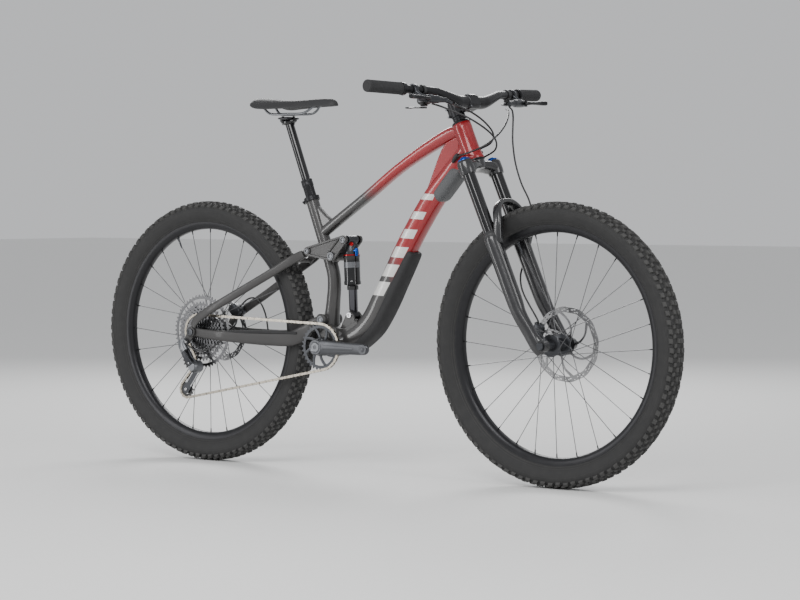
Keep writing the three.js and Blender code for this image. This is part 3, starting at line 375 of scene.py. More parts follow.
# The paint's lines and lengths are metres, in the bike's frame.
FADE_LINE = (0.921, 0, 0.388)
FADE_MIDDLE = (0.078, 0, 0.600)
TUBE_LINE = (-0.531, 0, -0.847)
TUBE_DEPTH_LINE = (0.847, 0, -0.531)
TUBE_TOP = (0.202, 0, 0.759)
BAR_PITCH = 0.057
BARS_LENGTH = 0.342
BARS_HALF_DEPTH = 0.019
BAR_SLANT = 0.55


def frame_paint():
    """Metallic red at the head that fades to charcoal, with slanted silver bars on the down tube."""
    s = Shader("frame_paint")
    fade = s.along(FADE_LINE, FADE_MIDDLE)
    dust = s.math("MULTIPLY", s.noise(260.0, 6.0), 0.018)
    red_part = s.spread(s.math("ADD", fade, dust), -0.022, 0.05)
    flake = s.noise(5200.0, 2.0)
    red = s.mix(flake, tuple(c * 0.85 for c in RED), tuple(c * 1.18 for c in RED))
    charcoal = s.mix(flake, tuple(c * 0.85 for c in CHARCOAL), tuple(c * 1.2 for c in CHARCOAL))
    paint = s.mix(red_part, charcoal, red)
    down = s.along(TUBE_LINE, TUBE_TOP)
    deep = s.along(TUBE_DEPTH_LINE, TUBE_TOP)
    slanted = s.math("ADD", s.math("ADD", down, 0.02), s.math("MULTIPLY", deep, BAR_SLANT))
    cells = s.math("DIVIDE", slanted, BAR_PITCH)
    part = s.math("FRACT", cells)
    width = s.spread(slanted, 0.0, BARS_LENGTH, 0.3, 0.8)
    bar = s.math("LESS_THAN", part, width)
    inside = s.math("MULTIPLY", s.math("GREATER_THAN", slanted, 0.0),
        s.math("LESS_THAN", slanted, BARS_LENGTH))
    band = s.math("LESS_THAN", s.math("ABSOLUTE", s.math("ADD", deep, 0.005)), BARS_HALF_DEPTH)
    facing = s.node("ShaderNodeSeparateXYZ",
        {0: s.tree.nodes["Texture Coordinate"].outputs["Normal"]}).outputs[1]
    side = s.math("GREATER_THAN", s.math("ABSOLUTE", facing), 0.45)
    graphic = s.math("MULTIPLY", s.math("MULTIPLY", bar, inside), s.math("MULTIPLY", band, side))
    s.set(Base_Color=s.mix(graphic, paint, SILVER), Metallic=0.15, Coat_Weight=0.6, Coat_Roughness=0.05)
    s.set(Roughness=s.spread(red_part, 0.0, 1.0, 0.45, 0.34))
    s.bump(s.noise(900.0), 0.02, 0.0001)
    return s.material


def tyre_rubber(name, low, high):
    """Dull rubber, mottled between two shades, with a fine grain."""
    s = Shader(name)
    blotch = s.noise(45.0)
    fine = s.noise(1300.0, 6.0, 0.7)
    s.set(Base_Color=s.mix(blotch, low, high))
    s.set(Roughness=s.spread(fine, 0.2, 0.8, 0.62, 0.88))
    s.bump(fine, 0.3, 0.0004)
    return s.material


black_satin = finish("black_satin", (0.018, 0.018, 0.02), 0.36, 0.6, 1500.0, 0.06)
black_gloss = finish("black_gloss", (0.008, 0.008, 0.009), 0.12, 0.5, 2200.0, 0.02, coat=0.6)
fork_black = finish("fork_black", (0.014, 0.014, 0.0155), 0.3, 0.1, 1700.0, 0.05, coat=0.5)
dark_grey = finish("dark_grey", (0.05, 0.052, 0.057), 0.35, 0.8, 1700.0, 0.08)
mid_grey = finish("mid_grey", (0.16, 0.165, 0.175), 0.36, 0.8, 1700.0, 0.08)
crank_grey = finish("crank_grey", (0.075, 0.077, 0.083), 0.33, 0.75, 1700.0, 0.08)
silver = finish("silver", (0.42, 0.42, 0.43), 0.28, 1.0, 1800.0, 0.06)
moulded = finish("moulded_black", (0.02, 0.02, 0.021), 0.55, 0.0, 1500.0, 0.25)
rubber = finish("rubber_black", (0.017, 0.017, 0.018), 0.78, 0.0, 1100.0, 0.4, distance=0.0004)
pad_grey = finish("pad_grey", (0.075, 0.077, 0.08), 0.6, 0.0, 1100.0, 0.3)
cover = finish("saddle_cover", (0.016, 0.016, 0.017), 0.6, 0.0, 2400.0, 0.5, distance=0.0003)
blue = finish("blue_anodised", BLUE, 0.25, 0.8, 1500.0, 0.05)
red = finish("red_anodised", (0.5, 0.01, 0.015), 0.25, 0.7, 1500.0, 0.05)
hose_black = finish("hose_black", (0.012, 0.012, 0.013), 0.3, 0.0, 1500.0, 0.08)
charcoal_paint = finish("charcoal_paint", CHARCOAL, 0.5, 0.1, 5200.0, 0.02, 0.12, 0.12)
rotor_steel = brushed("rotor_steel", (0.3, 0.3, 0.305), 0.3)
cog_steel = brushed("cog_steel", (0.13, 0.13, 0.135), 0.36)
chain_steel = finish("chain_steel", (0.3, 0.275, 0.235), 0.3, 1.0, 900.0, 0.08)
spoke_steel = finish("spoke_steel", (0.14, 0.14, 0.145), 0.3, 1.0, 1500.0, 0.05)
shaft_chrome = finish("shaft_chrome", (0.09, 0.09, 0.1), 0.14, 1.0, 1500.0, 0.02)
paint = frame_paint()
casing_rubber = tyre_rubber("casing_rubber", (0.013, 0.013, 0.0135), (0.026, 0.0255, 0.025))
tread_rubber = tyre_rubber("tread_rubber", (0.032, 0.0315, 0.031), (0.055, 0.054, 0.052))


# ---- pieces ----
def make(name, shapes, material, body, replaces=(), bevel=0.0, smooth=38, blend=None):
    """Joins shapes into one piece that rides on a body; with blend, it is left unparented where it stands.
    """
    verts = []
    faces = []
    for shape_verts, shape_faces in shapes:
        base = len(verts)
        verts += [p * MM for p in shape_verts]
        faces += [tuple(base + i for i in face) for face in shape_faces]
    mesh = bpy.data.meshes.new(name)
    mesh.from_pydata(verts, [], faces)
    work = bmesh.new()
    work.from_mesh(mesh)
    bmesh.ops.remove_doubles(work, verts=work.verts, dist=2e-5)
    bmesh.ops.recalc_face_normals(work, faces=work.faces)
    work.to_mesh(mesh)
    work.free()
    mesh.polygons.foreach_set("use_smooth", [True] * len(mesh.polygons))
    mesh.set_sharp_from_angle(angle=math.radians(smooth))
    mesh.materials.append(material)
    obj = bpy.data.objects.new(name, mesh)
    bpy.context.scene.collection.objects.link(obj)
    if bevel:
        edge = obj.modifiers.new("edges", "BEVEL")
        edge.width = bevel * MM
        edge.segments = 2
        edge.limit_method = "ANGLE"
        edge.angle_limit = math.radians(35)
        edge.harden_normals = True
    if blend:
        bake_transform(obj)
    else:
        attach(obj, body)
    if replaces:
        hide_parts(*replaces)
    return obj


BOTH = (1, -1)


# ---- front frame ----
def front_frame():
    head = turn(CROWN_SEAT, STEER_UP, [
        (18.5, 4), (27.5, 4), (28, 5), (28, 12), (26.2, 22), (25.4, 34), (25.4, 84), (26, 96),
        (26, 111.2),
        (25.4, 112), (18.5, 112)], 48)
    down = sweep([
        (v(318, 0, 896), 20, 27, 2.2), (v(262, 0, 826), 25, 30, 2.6), (v(202, 0, 759), 27, 30, 2.8),
        (v(127, 0, 650), 28, 30, 2.8), (v(64, 0, 539), 29, 31, 2.8), (v(32, 0, 483), 30, 31, 2.8),
        (v(0, 0, 430), 30, 31, 2.8), (v(-42, 0, 392), 30, 29, 2.8), (v(-104, 0, 363), 29, 24, 2.8)], 40,
        6)
    top = sweep([
        (v(304, 0, 944), 19, 16, 2.4), (v(266, 0, 938), 19, 19, 2.6), (v(192, 0, 904), 18, 17, 2.8),
        (v(89, 0, 846), 18, 14, 2.8), (v(-15, 0, 775), 18, 13.5, 2.8), (v(-86, 0, 729), 17, 14, 2.6),
        (v(-164, 0, 678), 16, 15, 2.4), (v(-184, 0, 665), 15, 15, 2.2)], 36, 6)
    seat = sweep([
        (post(0), 18.2, 18.2), (post(-120), 18.4, 18.4), (post(-215), 18.6, 18.6),
        (v(-141, 0, 520), 19, 19),
        (v(-145, 0, 470), 20, 20), (v(-150, 0, 420), 23, 22), (v(-152, 0, 360), 27, 24)], 36, 5)
    return [head, down, top, seat]


make("frame_tubes", front_frame(), paint, "frame", ["front_frame"], smooth=50)
HEAD_GUSSET = [(188, 783), (200, 808), (213, 838), (226, 868), (240, 896), (256, 916), (300, 935),
    (302, 905),
               (300, 880), (268, 850), (235, 815)]
SEAT_GUSSET = [(-214, 741), (-208, 746), (-200, 747), (-186, 735), (-165, 717), (-142, 701), (-136, 692),
    (-144, 682),
               (-172, 668)]
make("gussets", [plate(HEAD_GUSSET, -17, 17), plate(SEAT_GUSSET, -9, 9)], paint, "frame",
    bevel=5,
     smooth=60)
FORGING = [(-176, 352), (-168, 334), (-146, 323), (-120, 322), (-88, 328), (-60, 338), (-30, 356),
    (-12, 374),
           (-24, 398), (-45, 424), (-62, 416), (-84, 402), (-106, 401), (-128, 406), (-150, 420),
           (-172, 436)]
make("bottom_forging", [
    plate(FORGING, -26, 26), pin(CRANK, -36.5, 36.5, 26, 1.5, 48), pin(SWING_PIVOT, -26.5, 26.5, 17, 1.5),
    plate([(-165, 570), (-140, 580), (-128, 592), (-122, 614), (-150, 630), (-176, 636)], -12, 12),
    pin(ROCKER_PIVOT, -22, 22, 14, 1.5)],
    charcoal_paint, "frame", bevel=4)
EAR = [(-106, 402), (-96, 420), (-86, 438), (-79, 447), (-72, 450.5), (-65, 447), (-58, 438), (-52, 420),
    (-46, 402)]
make("shock_ears", [plate(EAR, low, low + 6) for low in (14, -20)], charcoal_paint, "frame",
    bevel=1.5)
make("shock_foot_bolt", [bolt(v(-72, s * 20, 439), Y * s, 8, 3.5) for s in BOTH], silver, "frame")


GUARD = [(v(141, 0, 617), 23, 9), (v(134, 0, 605), 28, 14), (v(88, 0, 525), 31, 16),
    (v(60, 0, 474), 32, 16), (v(30, 0, 425), 32, 15), (v(4, 0, 393), 32, 15),
         (v(-36, 0, 360), 30, 14), (v(-60, 0, 346), 27, 10)]
make("guard", [sweep([(p, a, d, 3) for p, a, d in GUARD], 36, 6)], rubber, "frame",
    ["down_tube_guard"])
make("bumper_pad", [sweep([
    (v(298, 0, 845), 18, 12, 3), (v(291, 0, 837), 26, 18, 3), (v(280, 0, 825), 28.5, 20, 3),
    (v(240, 0, 781), 29, 20, 3),
    (v(229, 0, 769), 27, 18, 3), (v(222, 0, 761), 20, 12, 3)], 36, 6)], pad_grey, "frame")
for name, centre, s in (("port_left", v(336, 27, 886), 1), ("port_right", v(300, -27, 878), -1)):
    make(name, [sweep([
        (centre + v(-14, -s * 3, -16), 5, 4, 2.6), (centre + v(-2, s * 1.5, -4), 8, 5.5, 2.6),
        (centre + v(6, s * 1.5, 4), 7, 5, 2.6)], 20, 5)], moulded, "frame")

make("headset_rings", [turn(CROWN_SEAT, STEER_UP, [
    (14.7, 0.3), (27, 0.3), (28, 1.2), (28, 3.7), (18, 3.7), (18, 112.4), (26, 112.4), (26, 114),
    (23.5, 118.4),
    (18.5, 120.6), (18, 121), (18, 126.6), (17.4, 126.9), (18, 127.2), (18, 132.2), (17.6, 132.7),
    (14.7, 132.7)], 48)],
    black_satin, "steering", ["headset"])
make("seat_collar", [
    turn(post(-13), POST_UP, [(18.8, 0), (21.6, 0), (22.2, 0.8), (22.2, 12.2), (21.6, 13), (18.8, 13)],
    48),
    sweep([(post(-6.5) - POST_FORWARD * 20, 7.5, 6, 3), (post(-6.5) - POST_FORWARD * 29, 7, 5.6, 3)], 20,
    3),
    rod(post(-6.5) + v(-25, -10, -9), post(-6.5) + v(-25, 10, -9), 3)],
    black_satin, "frame", ["seat_clamp"], 0.6)
make("bottom_bracket_cups", [turn(at_y(CRANK, s * 36.8), Y * s, [
    (15.5, 0), (22, 0), (23, 0.8), (23, 5.4), (22, 6.2), (15.5, 6.2)], 48) for s in BOTH],
    dark_grey, "frame", ["bottom_bracket"])

# ---- seat post and saddle ----
make("post_outer", [turn(SEAT_TOP, POST_UP, [
    (0, -30), (15.5, -30), (15.5, 31), (16.4, 32.5), (16.6, 34), (16.6, 43), (16, 44), (16, 45),
    (16.6, 46),
    (16.2, 51), (15, 52), (13, 52), (13, 48), (0, 48)], 48)], black_satin, "frame",
    ["dropper_outer"])
POST_HEAD = post(234)
make("post_inner", [
    rod(post(20), post(228), 12.4, 0.5, 40),
    sweep([(POST_HEAD + v(-24, 0, -1), 9, 4, 2.6), (POST_HEAD + v(-12, 0, -5), 15, 8, 2.6),
           (POST_HEAD + v(0, 0, -7), 17, 10, 2.6), (POST_HEAD + v(12, 0, -5), 15, 8, 2.6),
           (POST_HEAD + v(24, 0, -1), 9, 4, 2.6)], 24, 5)],
    black_gloss, "seat", ["dropper_inner"])

SADDLE = [  # x, half width, top z, side drop, thickness
    (-133, 6, 1032, 5, 8), (-136, 12, 1037.5, 11, 14), (-145, 17.5, 1042, 16, 18),
    (-163, 20, 1044, 19, 20),
    (-200, 21.5, 1044, 20, 20), (-238, 25, 1043, 21, 18), (-275, 35, 1042.5, 22, 16),
    (-310, 50, 1043.5, 24, 14),
    (-345, 65, 1046.5, 28, 12), (-375, 71, 1049, 28, 11), (-395, 66, 1050, 21, 9),
    (-404, 50, 1049, 12, 6),
    (-407, 30, 1047, 5, 4)]


def saddle_shell():
    steps = 5
    count = (len(SADDLE) - 1) * steps
    across = 20
    verts = []
    for k in range(count + 1):
        x, half, top, drop, thick = spline(SADDLE, k / steps)
        middle = math.exp(-((x + 320) / 70) ** 2)
        for i in range(2 * across):
            upper = i < across
            turned = math.pi * (i % across + 0.5) / across
            y = half * math.cos(turned) * (1 if upper else -1)
            part = abs(y) / half
            z = top - drop * part ** 2.6
            if upper:
                z -= 4.5 * middle * math.exp(-(y / 9) ** 2)
            else:
                z -= 3 + (thick - 3) * (1 - part ** 2)
            verts.append(v(x, y, z))
    faces = grid_faces(count + 1, 2 * across)
    faces.append(tuple(range(2 * across)))
    faces.append(tuple(range(count * 2 * across, (count + 1) * 2 * across)))
    return verts, faces


saddle = make("saddle_shell", [saddle_shell()], cover, "seat", ["saddle"], smooth=60)
soften = saddle.modifiers.new("soften", "SUBSURF")
soften.levels = 1
soften.render_levels = 1


def rail_line(side):
    return [v(-190, side * 9, 1030), v(-206, side * 14, 1022), v(-222, side * 20, 1010),
        v(-244, side * 22, 1003),
            v(-294, side * 22, 1003), v(-344, side * 22, 1003), v(-362, side * 24, 1008),
            v(-376, side * 27, 1022)]


make("rails", [hose(rail_line(s), 3.5, 16) for s in BOTH], mid_grey, "seat",
    ["saddle_rails"])
make("rail_clamp", [
    sweep([(POST_HEAD + v(x, 0, 4), 27, half, 3) for x,
    half in ((-17, 3), (-10, 4.5), (10, 4.5), (17, 3))], 24, 4),
    *[bolt(POST_HEAD + v(x, 0, 8), Z, 4, 3) for x in (-20, 20)],
    *[rod(POST_HEAD + v(x, 0, -14), POST_HEAD + v(x, 0, 10), 2.5) for x in (-20, 20)]],
    black_satin, "seat", ["saddle_clamp"])

# ---- fork ----
make("crown", [
    sweep([(steer(-22, LEG_FORWARD, -68), 17, 14, 3), (steer(-21, LEG_FORWARD - 1, -52), 21, 15, 3),
           (steer(-17, 5, -30), 22, 13, 2.8), (steer(-14, 0, 0), 22, 12, 2.6),
           (steer(-17, 5, 30), 22, 13, 2.8),
           (steer(-21, LEG_FORWARD - 1, 52), 21, 15, 3), (steer(-22, LEG_FORWARD, 68), 17, 14, 3)],
          28, 6, STEER_FORWARD),
    turn(CROWN_SEAT, STEER_UP, [(0, -25), (21, -25), (24, -22), (26, -4), (26, -1), (25, 0), (0, 0)], 48),
    *[turn(steer(0, LEG_FORWARD, s * LEG_SPREAD), STEER_UP, [
        (0, -42), (19.5, -42), (20.6, -41), (22, -30), (22, -10), (20.5, -4), (19, -2.5), (0, -2.5)],
        48) for s in BOTH]],
    fork_black, "steering", ["fork_upper"])
make("crown_caps", [turn(steer(0, LEG_FORWARD, s * LEG_SPREAD), STEER_UP, [
    (0, -3), (17.5, -3), (17.5, 0.5), (16.5, 1.8), (9.5, 2), (9, 6), (8, 7), (0, 7)], 32) for s in BOTH],
    blue, "steering")
make("steerer", [rod(steer(-6), steer(169), 14.3, 0.5, 40)], black_satin, "steering")
make("stanchions", [rod(steer(-330, LEG_FORWARD, s * LEG_SPREAD), steer(-38, LEG_FORWARD, s * LEG_SPREAD),
    17, 0.5, 48)
                    for s in BOTH], black_gloss, "steering")


def lower_leg(s):
    return [
        sweep([(steer(-224, LEG_FORWARD, s * LEG_SPREAD), 21, 21),
        (steer(-238, LEG_FORWARD, s * LEG_SPREAD), 22.5, 22.5),
               (steer(-300, LEG_FORWARD, s * LEG_SPREAD), 21.5, 22),
               (steer(-400, LEG_FORWARD, s * 66), 21, 22),
               (steer(-446, LEG_FORWARD + 2, s * 69), 17, 20),
               (steer(-500, LEG_FORWARD + 11, s * 68.5), 13.5, 18.5, 2.4),
               (steer(-545, LEG_FORWARD + 18, s * 68), 12.5, 17, 2.5),
               (steer(-568, LEG_FORWARD + 21, s * 68), 9, 9, 2.4)],
              36, 6),
        pin(FRONT_AXLE, min(s * 55.4, s * 78), max(s * 55.4, s * 78), 16, 1.5),
        sweep([(steer(-500, LEG_FORWARD + 14, s * 68), 9, 12, 2.4),
        (steer(-548, 40, s * 67), 10.5, 14, 2.4)], 24, 4),
        sweep([(steer(-236, LEG_FORWARD + 17, s * LEG_SPREAD), 12, 6, 2.6),
        (steer(-300, LEG_FORWARD + 16, s * 65), 7, 6, 2.6),
               (steer(-380, LEG_FORWARD + 14, s * 65), 4, 5, 2.6)], 20, 5)]


ARCH = sweep([
    (steer(-246, 26, 66), 12, 9, 3), (steer(-222, 34, 65.5), 12.5, 9.5, 3),
    (steer(-190, 44, 62), 12.5, 8.5, 3),
    (steer(-160, 46, 50), 12.5, 7.8, 3), (steer(-141, 46, 28), 12.5, 6.8, 3),
    (steer(-136, 46, 0), 12.5, 6.2, 3),
    (steer(-141, 46, -28), 12.5, 6.8, 3), (steer(-160, 46, -50), 12.5, 7.8, 3),
    (steer(-190, 44, -62), 12.5, 8.5, 3),
    (steer(-222, 34, -65.5), 12.5, 9.5, 3), (steer(-246, 26, -66), 12, 9, 3)], 28, 6, STEER_FORWARD)
make("lowers", [*lower_leg(1), *lower_leg(-1), ARCH], fork_black, "fork_slider",
    ["fork_lowers"])
make("wiper_seals", [turn(steer(0, LEG_FORWARD, s * LEG_SPREAD), STEER_UP, [
    (17.3, -226), (20.5, -226), (21.4, -224), (21.4, -217), (20.4, -215), (19, -213), (17.6, -209),
    (17.3, -209)], 40)
    for s in BOTH], moulded, "fork_slider")
make("wheel_axle_front", [
    pin(FRONT_AXLE, -80, 76, 7.5, 1), pin(FRONT_AXLE, -84, -78.4, 11, 1.5),
    bolt(at_y(FRONT_AXLE, 78), Y, 8, 2.5)], dark_grey, "fork_slider", ["front_axle"])

# ---- cockpit ----
def handlebar_half(side):
    line = bar_line(side)
    radius = [17.5, 17.5, 15.5, 12, 11.1, 11.1]
    middle = line[4].lerp(line[5], 0.5)
    stations = [(p, r, r) for p, r in zip(line, radius)]
    stations.insert(5, (middle, 11.1, 11.1))
    return sweep(stations, 36, 8, X)


make("bar_tube", [handlebar_half(s) for s in BOTH], black_satin, "steering", ["handlebar"])
STEM_MID = 153
make("stem_body", [
    turn(steer(133), STEER_UP, [(14.7, 0), (18.4, 0), (19, 0.6), (19, 39.4), (18.4, 40), (14.7, 40)], 48),
    sweep([(steer(STEM_MID, 8), 17, 16, 3), (steer(STEM_MID, 24), 16, 15, 3),
    (steer(STEM_MID, 33), 22, 18, 4)], 32, 6),
    sweep([(steer(STEM_MID, -14), 8, 15, 3), (steer(STEM_MID, -25), 6, 14, 3)], 24, 4),
    sweep([(steer(STEM_MID, 31.5), 25, 20.5, 8), (steer(STEM_MID, 49.5), 25, 20.5, 8)], 36, 3),
    turn(steer(173), STEER_UP, [(0, 0), (17, 0), (17.6, 1), (17.6, 4), (15.4, 7), (6, 7.4), (5, 5),
    (0, 5)], 48)],
    black_satin, "steering", ["stem"], 0.8)
make("faceplate", [sweep([
    (steer(STEM_MID, 50.5), 25, 20.5, 8), (steer(STEM_MID, 60), 24.5, 20.5, 7),
    (steer(STEM_MID, 69), 21, 14, 3)], 36, 5)],
    black_satin, "steering", ["stem_faceplate"], 0.8)
make("stem_bolts", [
    *[bolt(steer(STEM_MID + up, 62, side), STEER_FORWARD, 3.8, 3) for up in (-15, 15) for side in (-18,
    18)],
    *[rod(steer(STEM_MID + up, -22, -15), steer(STEM_MID + up, -22, 15), 3) for up in (-11, 11)],
    bolt(steer(178), STEER_UP, 4.5, 3)], mid_grey, "steering")


def grip_profile():
    profile = [(0, -2.5), (14.4, -2.5), (15.6, -1.5), (16.4, 1), (16.4, 5)]
    for k in range(24):
        start = 8 + 4.6 * k
        profile += [(15.4, start - 1.2), (16.3, start - 0.5), (16.3, start + 1.5), (15.4, start + 2.2)]
    return profile + [(15.4, 119), (12, 119), (12, -0.3), (0, -0.3)]


for word, s in (("left", 1), ("right", -1)):
    end = bar_line(s)[5]
    inward = bar_inward(s)
    make(f"grip_sleeve_{word}", [turn(end, inward, grip_profile(), 48)], rubber, "steering",
        [f"grip_{word}"])
    make(f"grip_collar_{word}", [
        turn(end, inward, [(12, 119.5), (16.4, 119.5), (17, 120.2), (17, 131), (16.4, 132), (12, 132)],
        40),
        bolt(end + inward * 126 + v(0, 0, -16), -Z, 3, 2)], black_satin, "steering")
    at = on_bar(s, 165)
    start = at + v(36, -s * 2, -24)
    far = start + inward * 92 + v(8, 0, -8)
    make(f"brake_body_{word}", [
        turn(at - inward * 7, inward, [(11.6, 0), (14.6, 0), (15.2, 0.8), (15.2, 13.2), (14.6, 14),
        (11.6, 14)], 36),
        sweep([(at + v(8, 0, -4), 8, 7, 2.6), (at + v(22, 0, -14), 6, 6, 2.6), (start, 8, 7, 2.6)], 20,
        4),
        sweep([(start - inward * 24, 6, 5), (start - inward * 14, 9, 8), (start + inward * 8, 11, 10),
               (start + inward * 44, 10.5, 9.5), (start + inward * 56, 8, 7.5),
               (start + inward * 78, 6.5, 6)], 28, 6, Z),
        turn(start + inward * 76, far - (start + inward * 76), [
            (0, 0), (6, 0), (6, 8), (4.6, 10), (4.6, 18), (3.4, 22), (0, 22)], 20)],
        dark_grey, "steering", [f"brake_master_{word}"])
    make(f"brake_cap_{word}", [
        turn(start + inward * 20 + v(0, 0, 7), Z, [(0, 0), (7, 0), (7.5, 1), (7.5, 4), (6.5, 5), (0, 5)],
        32),
        bolt(at + v(14, 0, 8), Z, 3, 3)], mid_grey, "steering")
    pivot = at + v(51, -s * 2, -24)
    outward = -inward
    blade = [pivot + outward * o + v(f, 0, u) for f, o, u in
             ((-2, -4, 0), (3, 4, 0), (9, 16, 0), (12, 40, 0), (13, 58, 0), (15, 74, 0), (21, 90, 0),
             (24, 94, 0))]
    size = [(5, 4), (6, 5), (4.5, 4), (4, 4.5), (4, 5.2), (4.6, 5.8), (5.4, 6), (3.6, 4)]
    make(f"brake_blade_{word}", [
        sweep([(p, a, d, 2.4) for p, (a, d) in zip(blade, size)], 24, 6, X),
        rod(pivot - Z * 9, pivot + Z * 9, 4)], black_satin, f"brake_lever_{word}_body",
        [f"brake_lever_{word}"])

SHIFT_AT = on_bar(-1, 197)
SHIFT_PIVOT = SHIFT_AT + v(6, 0, -44)
make("shifter", [
    turn(SHIFT_AT - Y * 5, Y, [(11.6, 0), (14, 0), (14.6, 0.7), (14.6, 9.3), (14, 10), (11.6, 10)], 32),
    sweep([(SHIFT_AT + v(1, 0, -12), 7, 7, 2.4), (SHIFT_AT + v(4, 0, -22), 9, 9, 2.6)], 20, 3),
    sweep([(SHIFT_AT + v(7, -17, -27), 8, 8, 2.2), (SHIFT_AT + v(7, -14, -27), 13, 12, 2.2),
           (SHIFT_AT + v(7, 0, -26), 15.5, 13.5, 2.4), (SHIFT_AT + v(8, 12, -26), 14.5, 12, 2.6),
           (SHIFT_AT + v(10, 22, -26), 11, 8, 2.6), (SHIFT_AT + v(12, 30, -28), 5, 5, 2.2),
           (SHIFT_AT + v(13, 36, -30), 4, 4, 2.2)], 28, 5, X),
    turn(SHIFT_AT + v(7, -16, -27), -Y,
    [(0, 0), (8.5, 0), (9.5, 0.8), (9.5, 2.2), (8, 3), (3, 3), (2.6, 2), (0, 2)], 32)],
    moulded, "steering", ["shifter_body"])
make("shifter_cap", [
    turn(SHIFT_AT + v(7, -18, -27), -Y, [(0, 0), (5.5, 0), (5.5, 1.6), (4.8, 2.2), (0, 2.2)], 24),
    bolt(SHIFT_AT + v(16, 12, -14), v(0.3, 0, 1), 2.6, 2)], mid_grey, "steering")
make("shift_thumb", [sweep([
    (SHIFT_PIVOT + v(4, 2, -2), 6, 2), (SHIFT_PIVOT + v(-8, -6, -2), 7, 2),
    (SHIFT_PIVOT + v(-22, -16, -2), 6, 2),
    (SHIFT_PIVOT + v(-25, -28, -3), 8, 2.4), (SHIFT_PIVOT + v(-24, -40, -3), 7, 2)], 20, 6, X),
    rod(SHIFT_PIVOT - Z * 4, SHIFT_PIVOT, 9)], black_satin, "shift_paddle_body",
    ["shift_paddle"])
make("release_finger", [sweep([
    (SHIFT_PIVOT + v(0, 0, 3), 5, 1.8), (SHIFT_PIVOT + v(14, -10, 3), 6, 1.8),
    (SHIFT_PIVOT + v(19, -20, 3), 7, 2),
    (SHIFT_PIVOT + v(20, -27, 3), 5, 1.8)], 20, 6, X),
    rod(SHIFT_PIVOT + Z * 1.4, SHIFT_PIVOT + Z * 5.2, 9)],
    black_satin, "release_paddle_body", ["release_paddle"])
REMOTE_AT = on_bar(1, 197)
REMOTE_PIVOT = REMOTE_AT + v(0, 0, -25)
make("post_remote", [
    turn(REMOTE_AT - Y * 5, Y, [(11.6, 0), (14, 0), (14.6, 0.7), (14.6, 9.3), (14, 10), (11.6, 10)], 32),
    rod(REMOTE_AT + v(2, 0, -12), REMOTE_PIVOT + v(0, 0, 4), 7.6, 1)], moulded, "steering",
    ["dropper_remote"])
make("post_thumb", [sweep([
    (REMOTE_PIVOT, 5, 2), (REMOTE_PIVOT + v(-12, 8, 0), 6, 2), (REMOTE_PIVOT + v(-22, 18, -1), 7, 2.2),
    (REMOTE_PIVOT + v(-26, 38, -2), 7, 2.4)], 20, 6, X),
    rod(REMOTE_PIVOT - Z * 4, REMOTE_PIVOT + Z * 3, 8)],
    black_satin, "dropper_lever_body", ["dropper_lever"])

# ---- wheels ----
CASING = [(311, -13), (316, -16), (323, -21.5), (333, -27.5), (344, -31), (353, -31.6), (361, -29),
    (367, -23),
          (371, -14), (372.5, -5), (372.5, 5), (371, 14), (367, 23), (361, 29), (353, 31.6), (344, 31),
          (333, 27.5), (323, 21.5), (316, 16), (311, 13)]
TREAD_PITCHES = 96


def knob(centre, angle, y, lean, along, across, height, skew=0.0):
    """A tread block standing on the casing: lean tips it sideways, in radians."""
    radial = v(math.cos(angle), 0, math.sin(angle))
    tangent = v(-math.sin(angle), 0, math.cos(angle))
    out = radial * math.cos(lean) + Y * math.sin(lean)
    side = Y * math.cos(lean) - radial * math.sin(lean)
    base = centre + Y * y
    verts = []
    for up, grow in ((-2.5, 1.25), (height - 0.7, 1.0), (height, 0.84)):
        for i, j in ((-1, -1), (1, -1), (1, 1), (-1, 1)):
            shear = tangent * skew * j * across / 2
            verts.append(base + out * up + tangent * i * along / 2 * grow
                         + side * j * across / 2 * grow + shear)
    return verts, [*grid_faces(3, 4), (0, 1, 2, 3), (8, 9, 10, 11)]


CENTRE_KNOBS = 372  # radius of the rows of knobs, from the axle
MIDDLE_KNOBS = 369.2


def tread_blocks(axle, heading):
    """heading is 1 or -1: the way that the ramped edges face."""
    blocks = []
    step = 2 * math.pi / TREAD_PITCHES
    for i in range(TREAD_PITCHES):
        angle = i * step
        odd = i % 2
        for s in BOTH:
            centre = axle + v(math.cos(angle), 0, math.sin(angle)) * CENTRE_KNOBS
            skew = heading * s * 0.25
            blocks.append(knob(centre, angle, s * (5.6 if odd else 8.4), s * 0.03, 11.5,
                8.5 if odd else 8, 6, skew))
            middle = angle + step / 2
            centre = axle + v(math.cos(middle), 0, math.sin(middle)) * MIDDLE_KNOBS
            blocks.append(knob(centre, middle, s * (18.4 if odd else 16.8), s * 0.36, 9.5, 6.5, 5.6,
                -skew))
            centre = axle + v(math.cos(angle), 0, math.sin(angle)) * (363.2 if odd else 364.4)
            blocks.append(knob(centre, angle, s * (26.6 if odd else 25.6), s * 0.8, 12.5, 9, 6.2, skew))
    return blocks


def rim_profile():
    half = [(297, 0), (297, 6), (299, 10.5), (304, 15), (312, 17.2), (317.5, 17.4), (318, 16.6),
        (318, 15.3),
            (312, 14.9), (308, 12), (307, 0)]
    return half + [(r, -y) for r, y in reversed(half[1:-1])]


SPOKE_PAIRS = 7
NIPPLE = 297
SPOKE_LEAD = 1.32  # radians from a spoke's rim end to its hub end


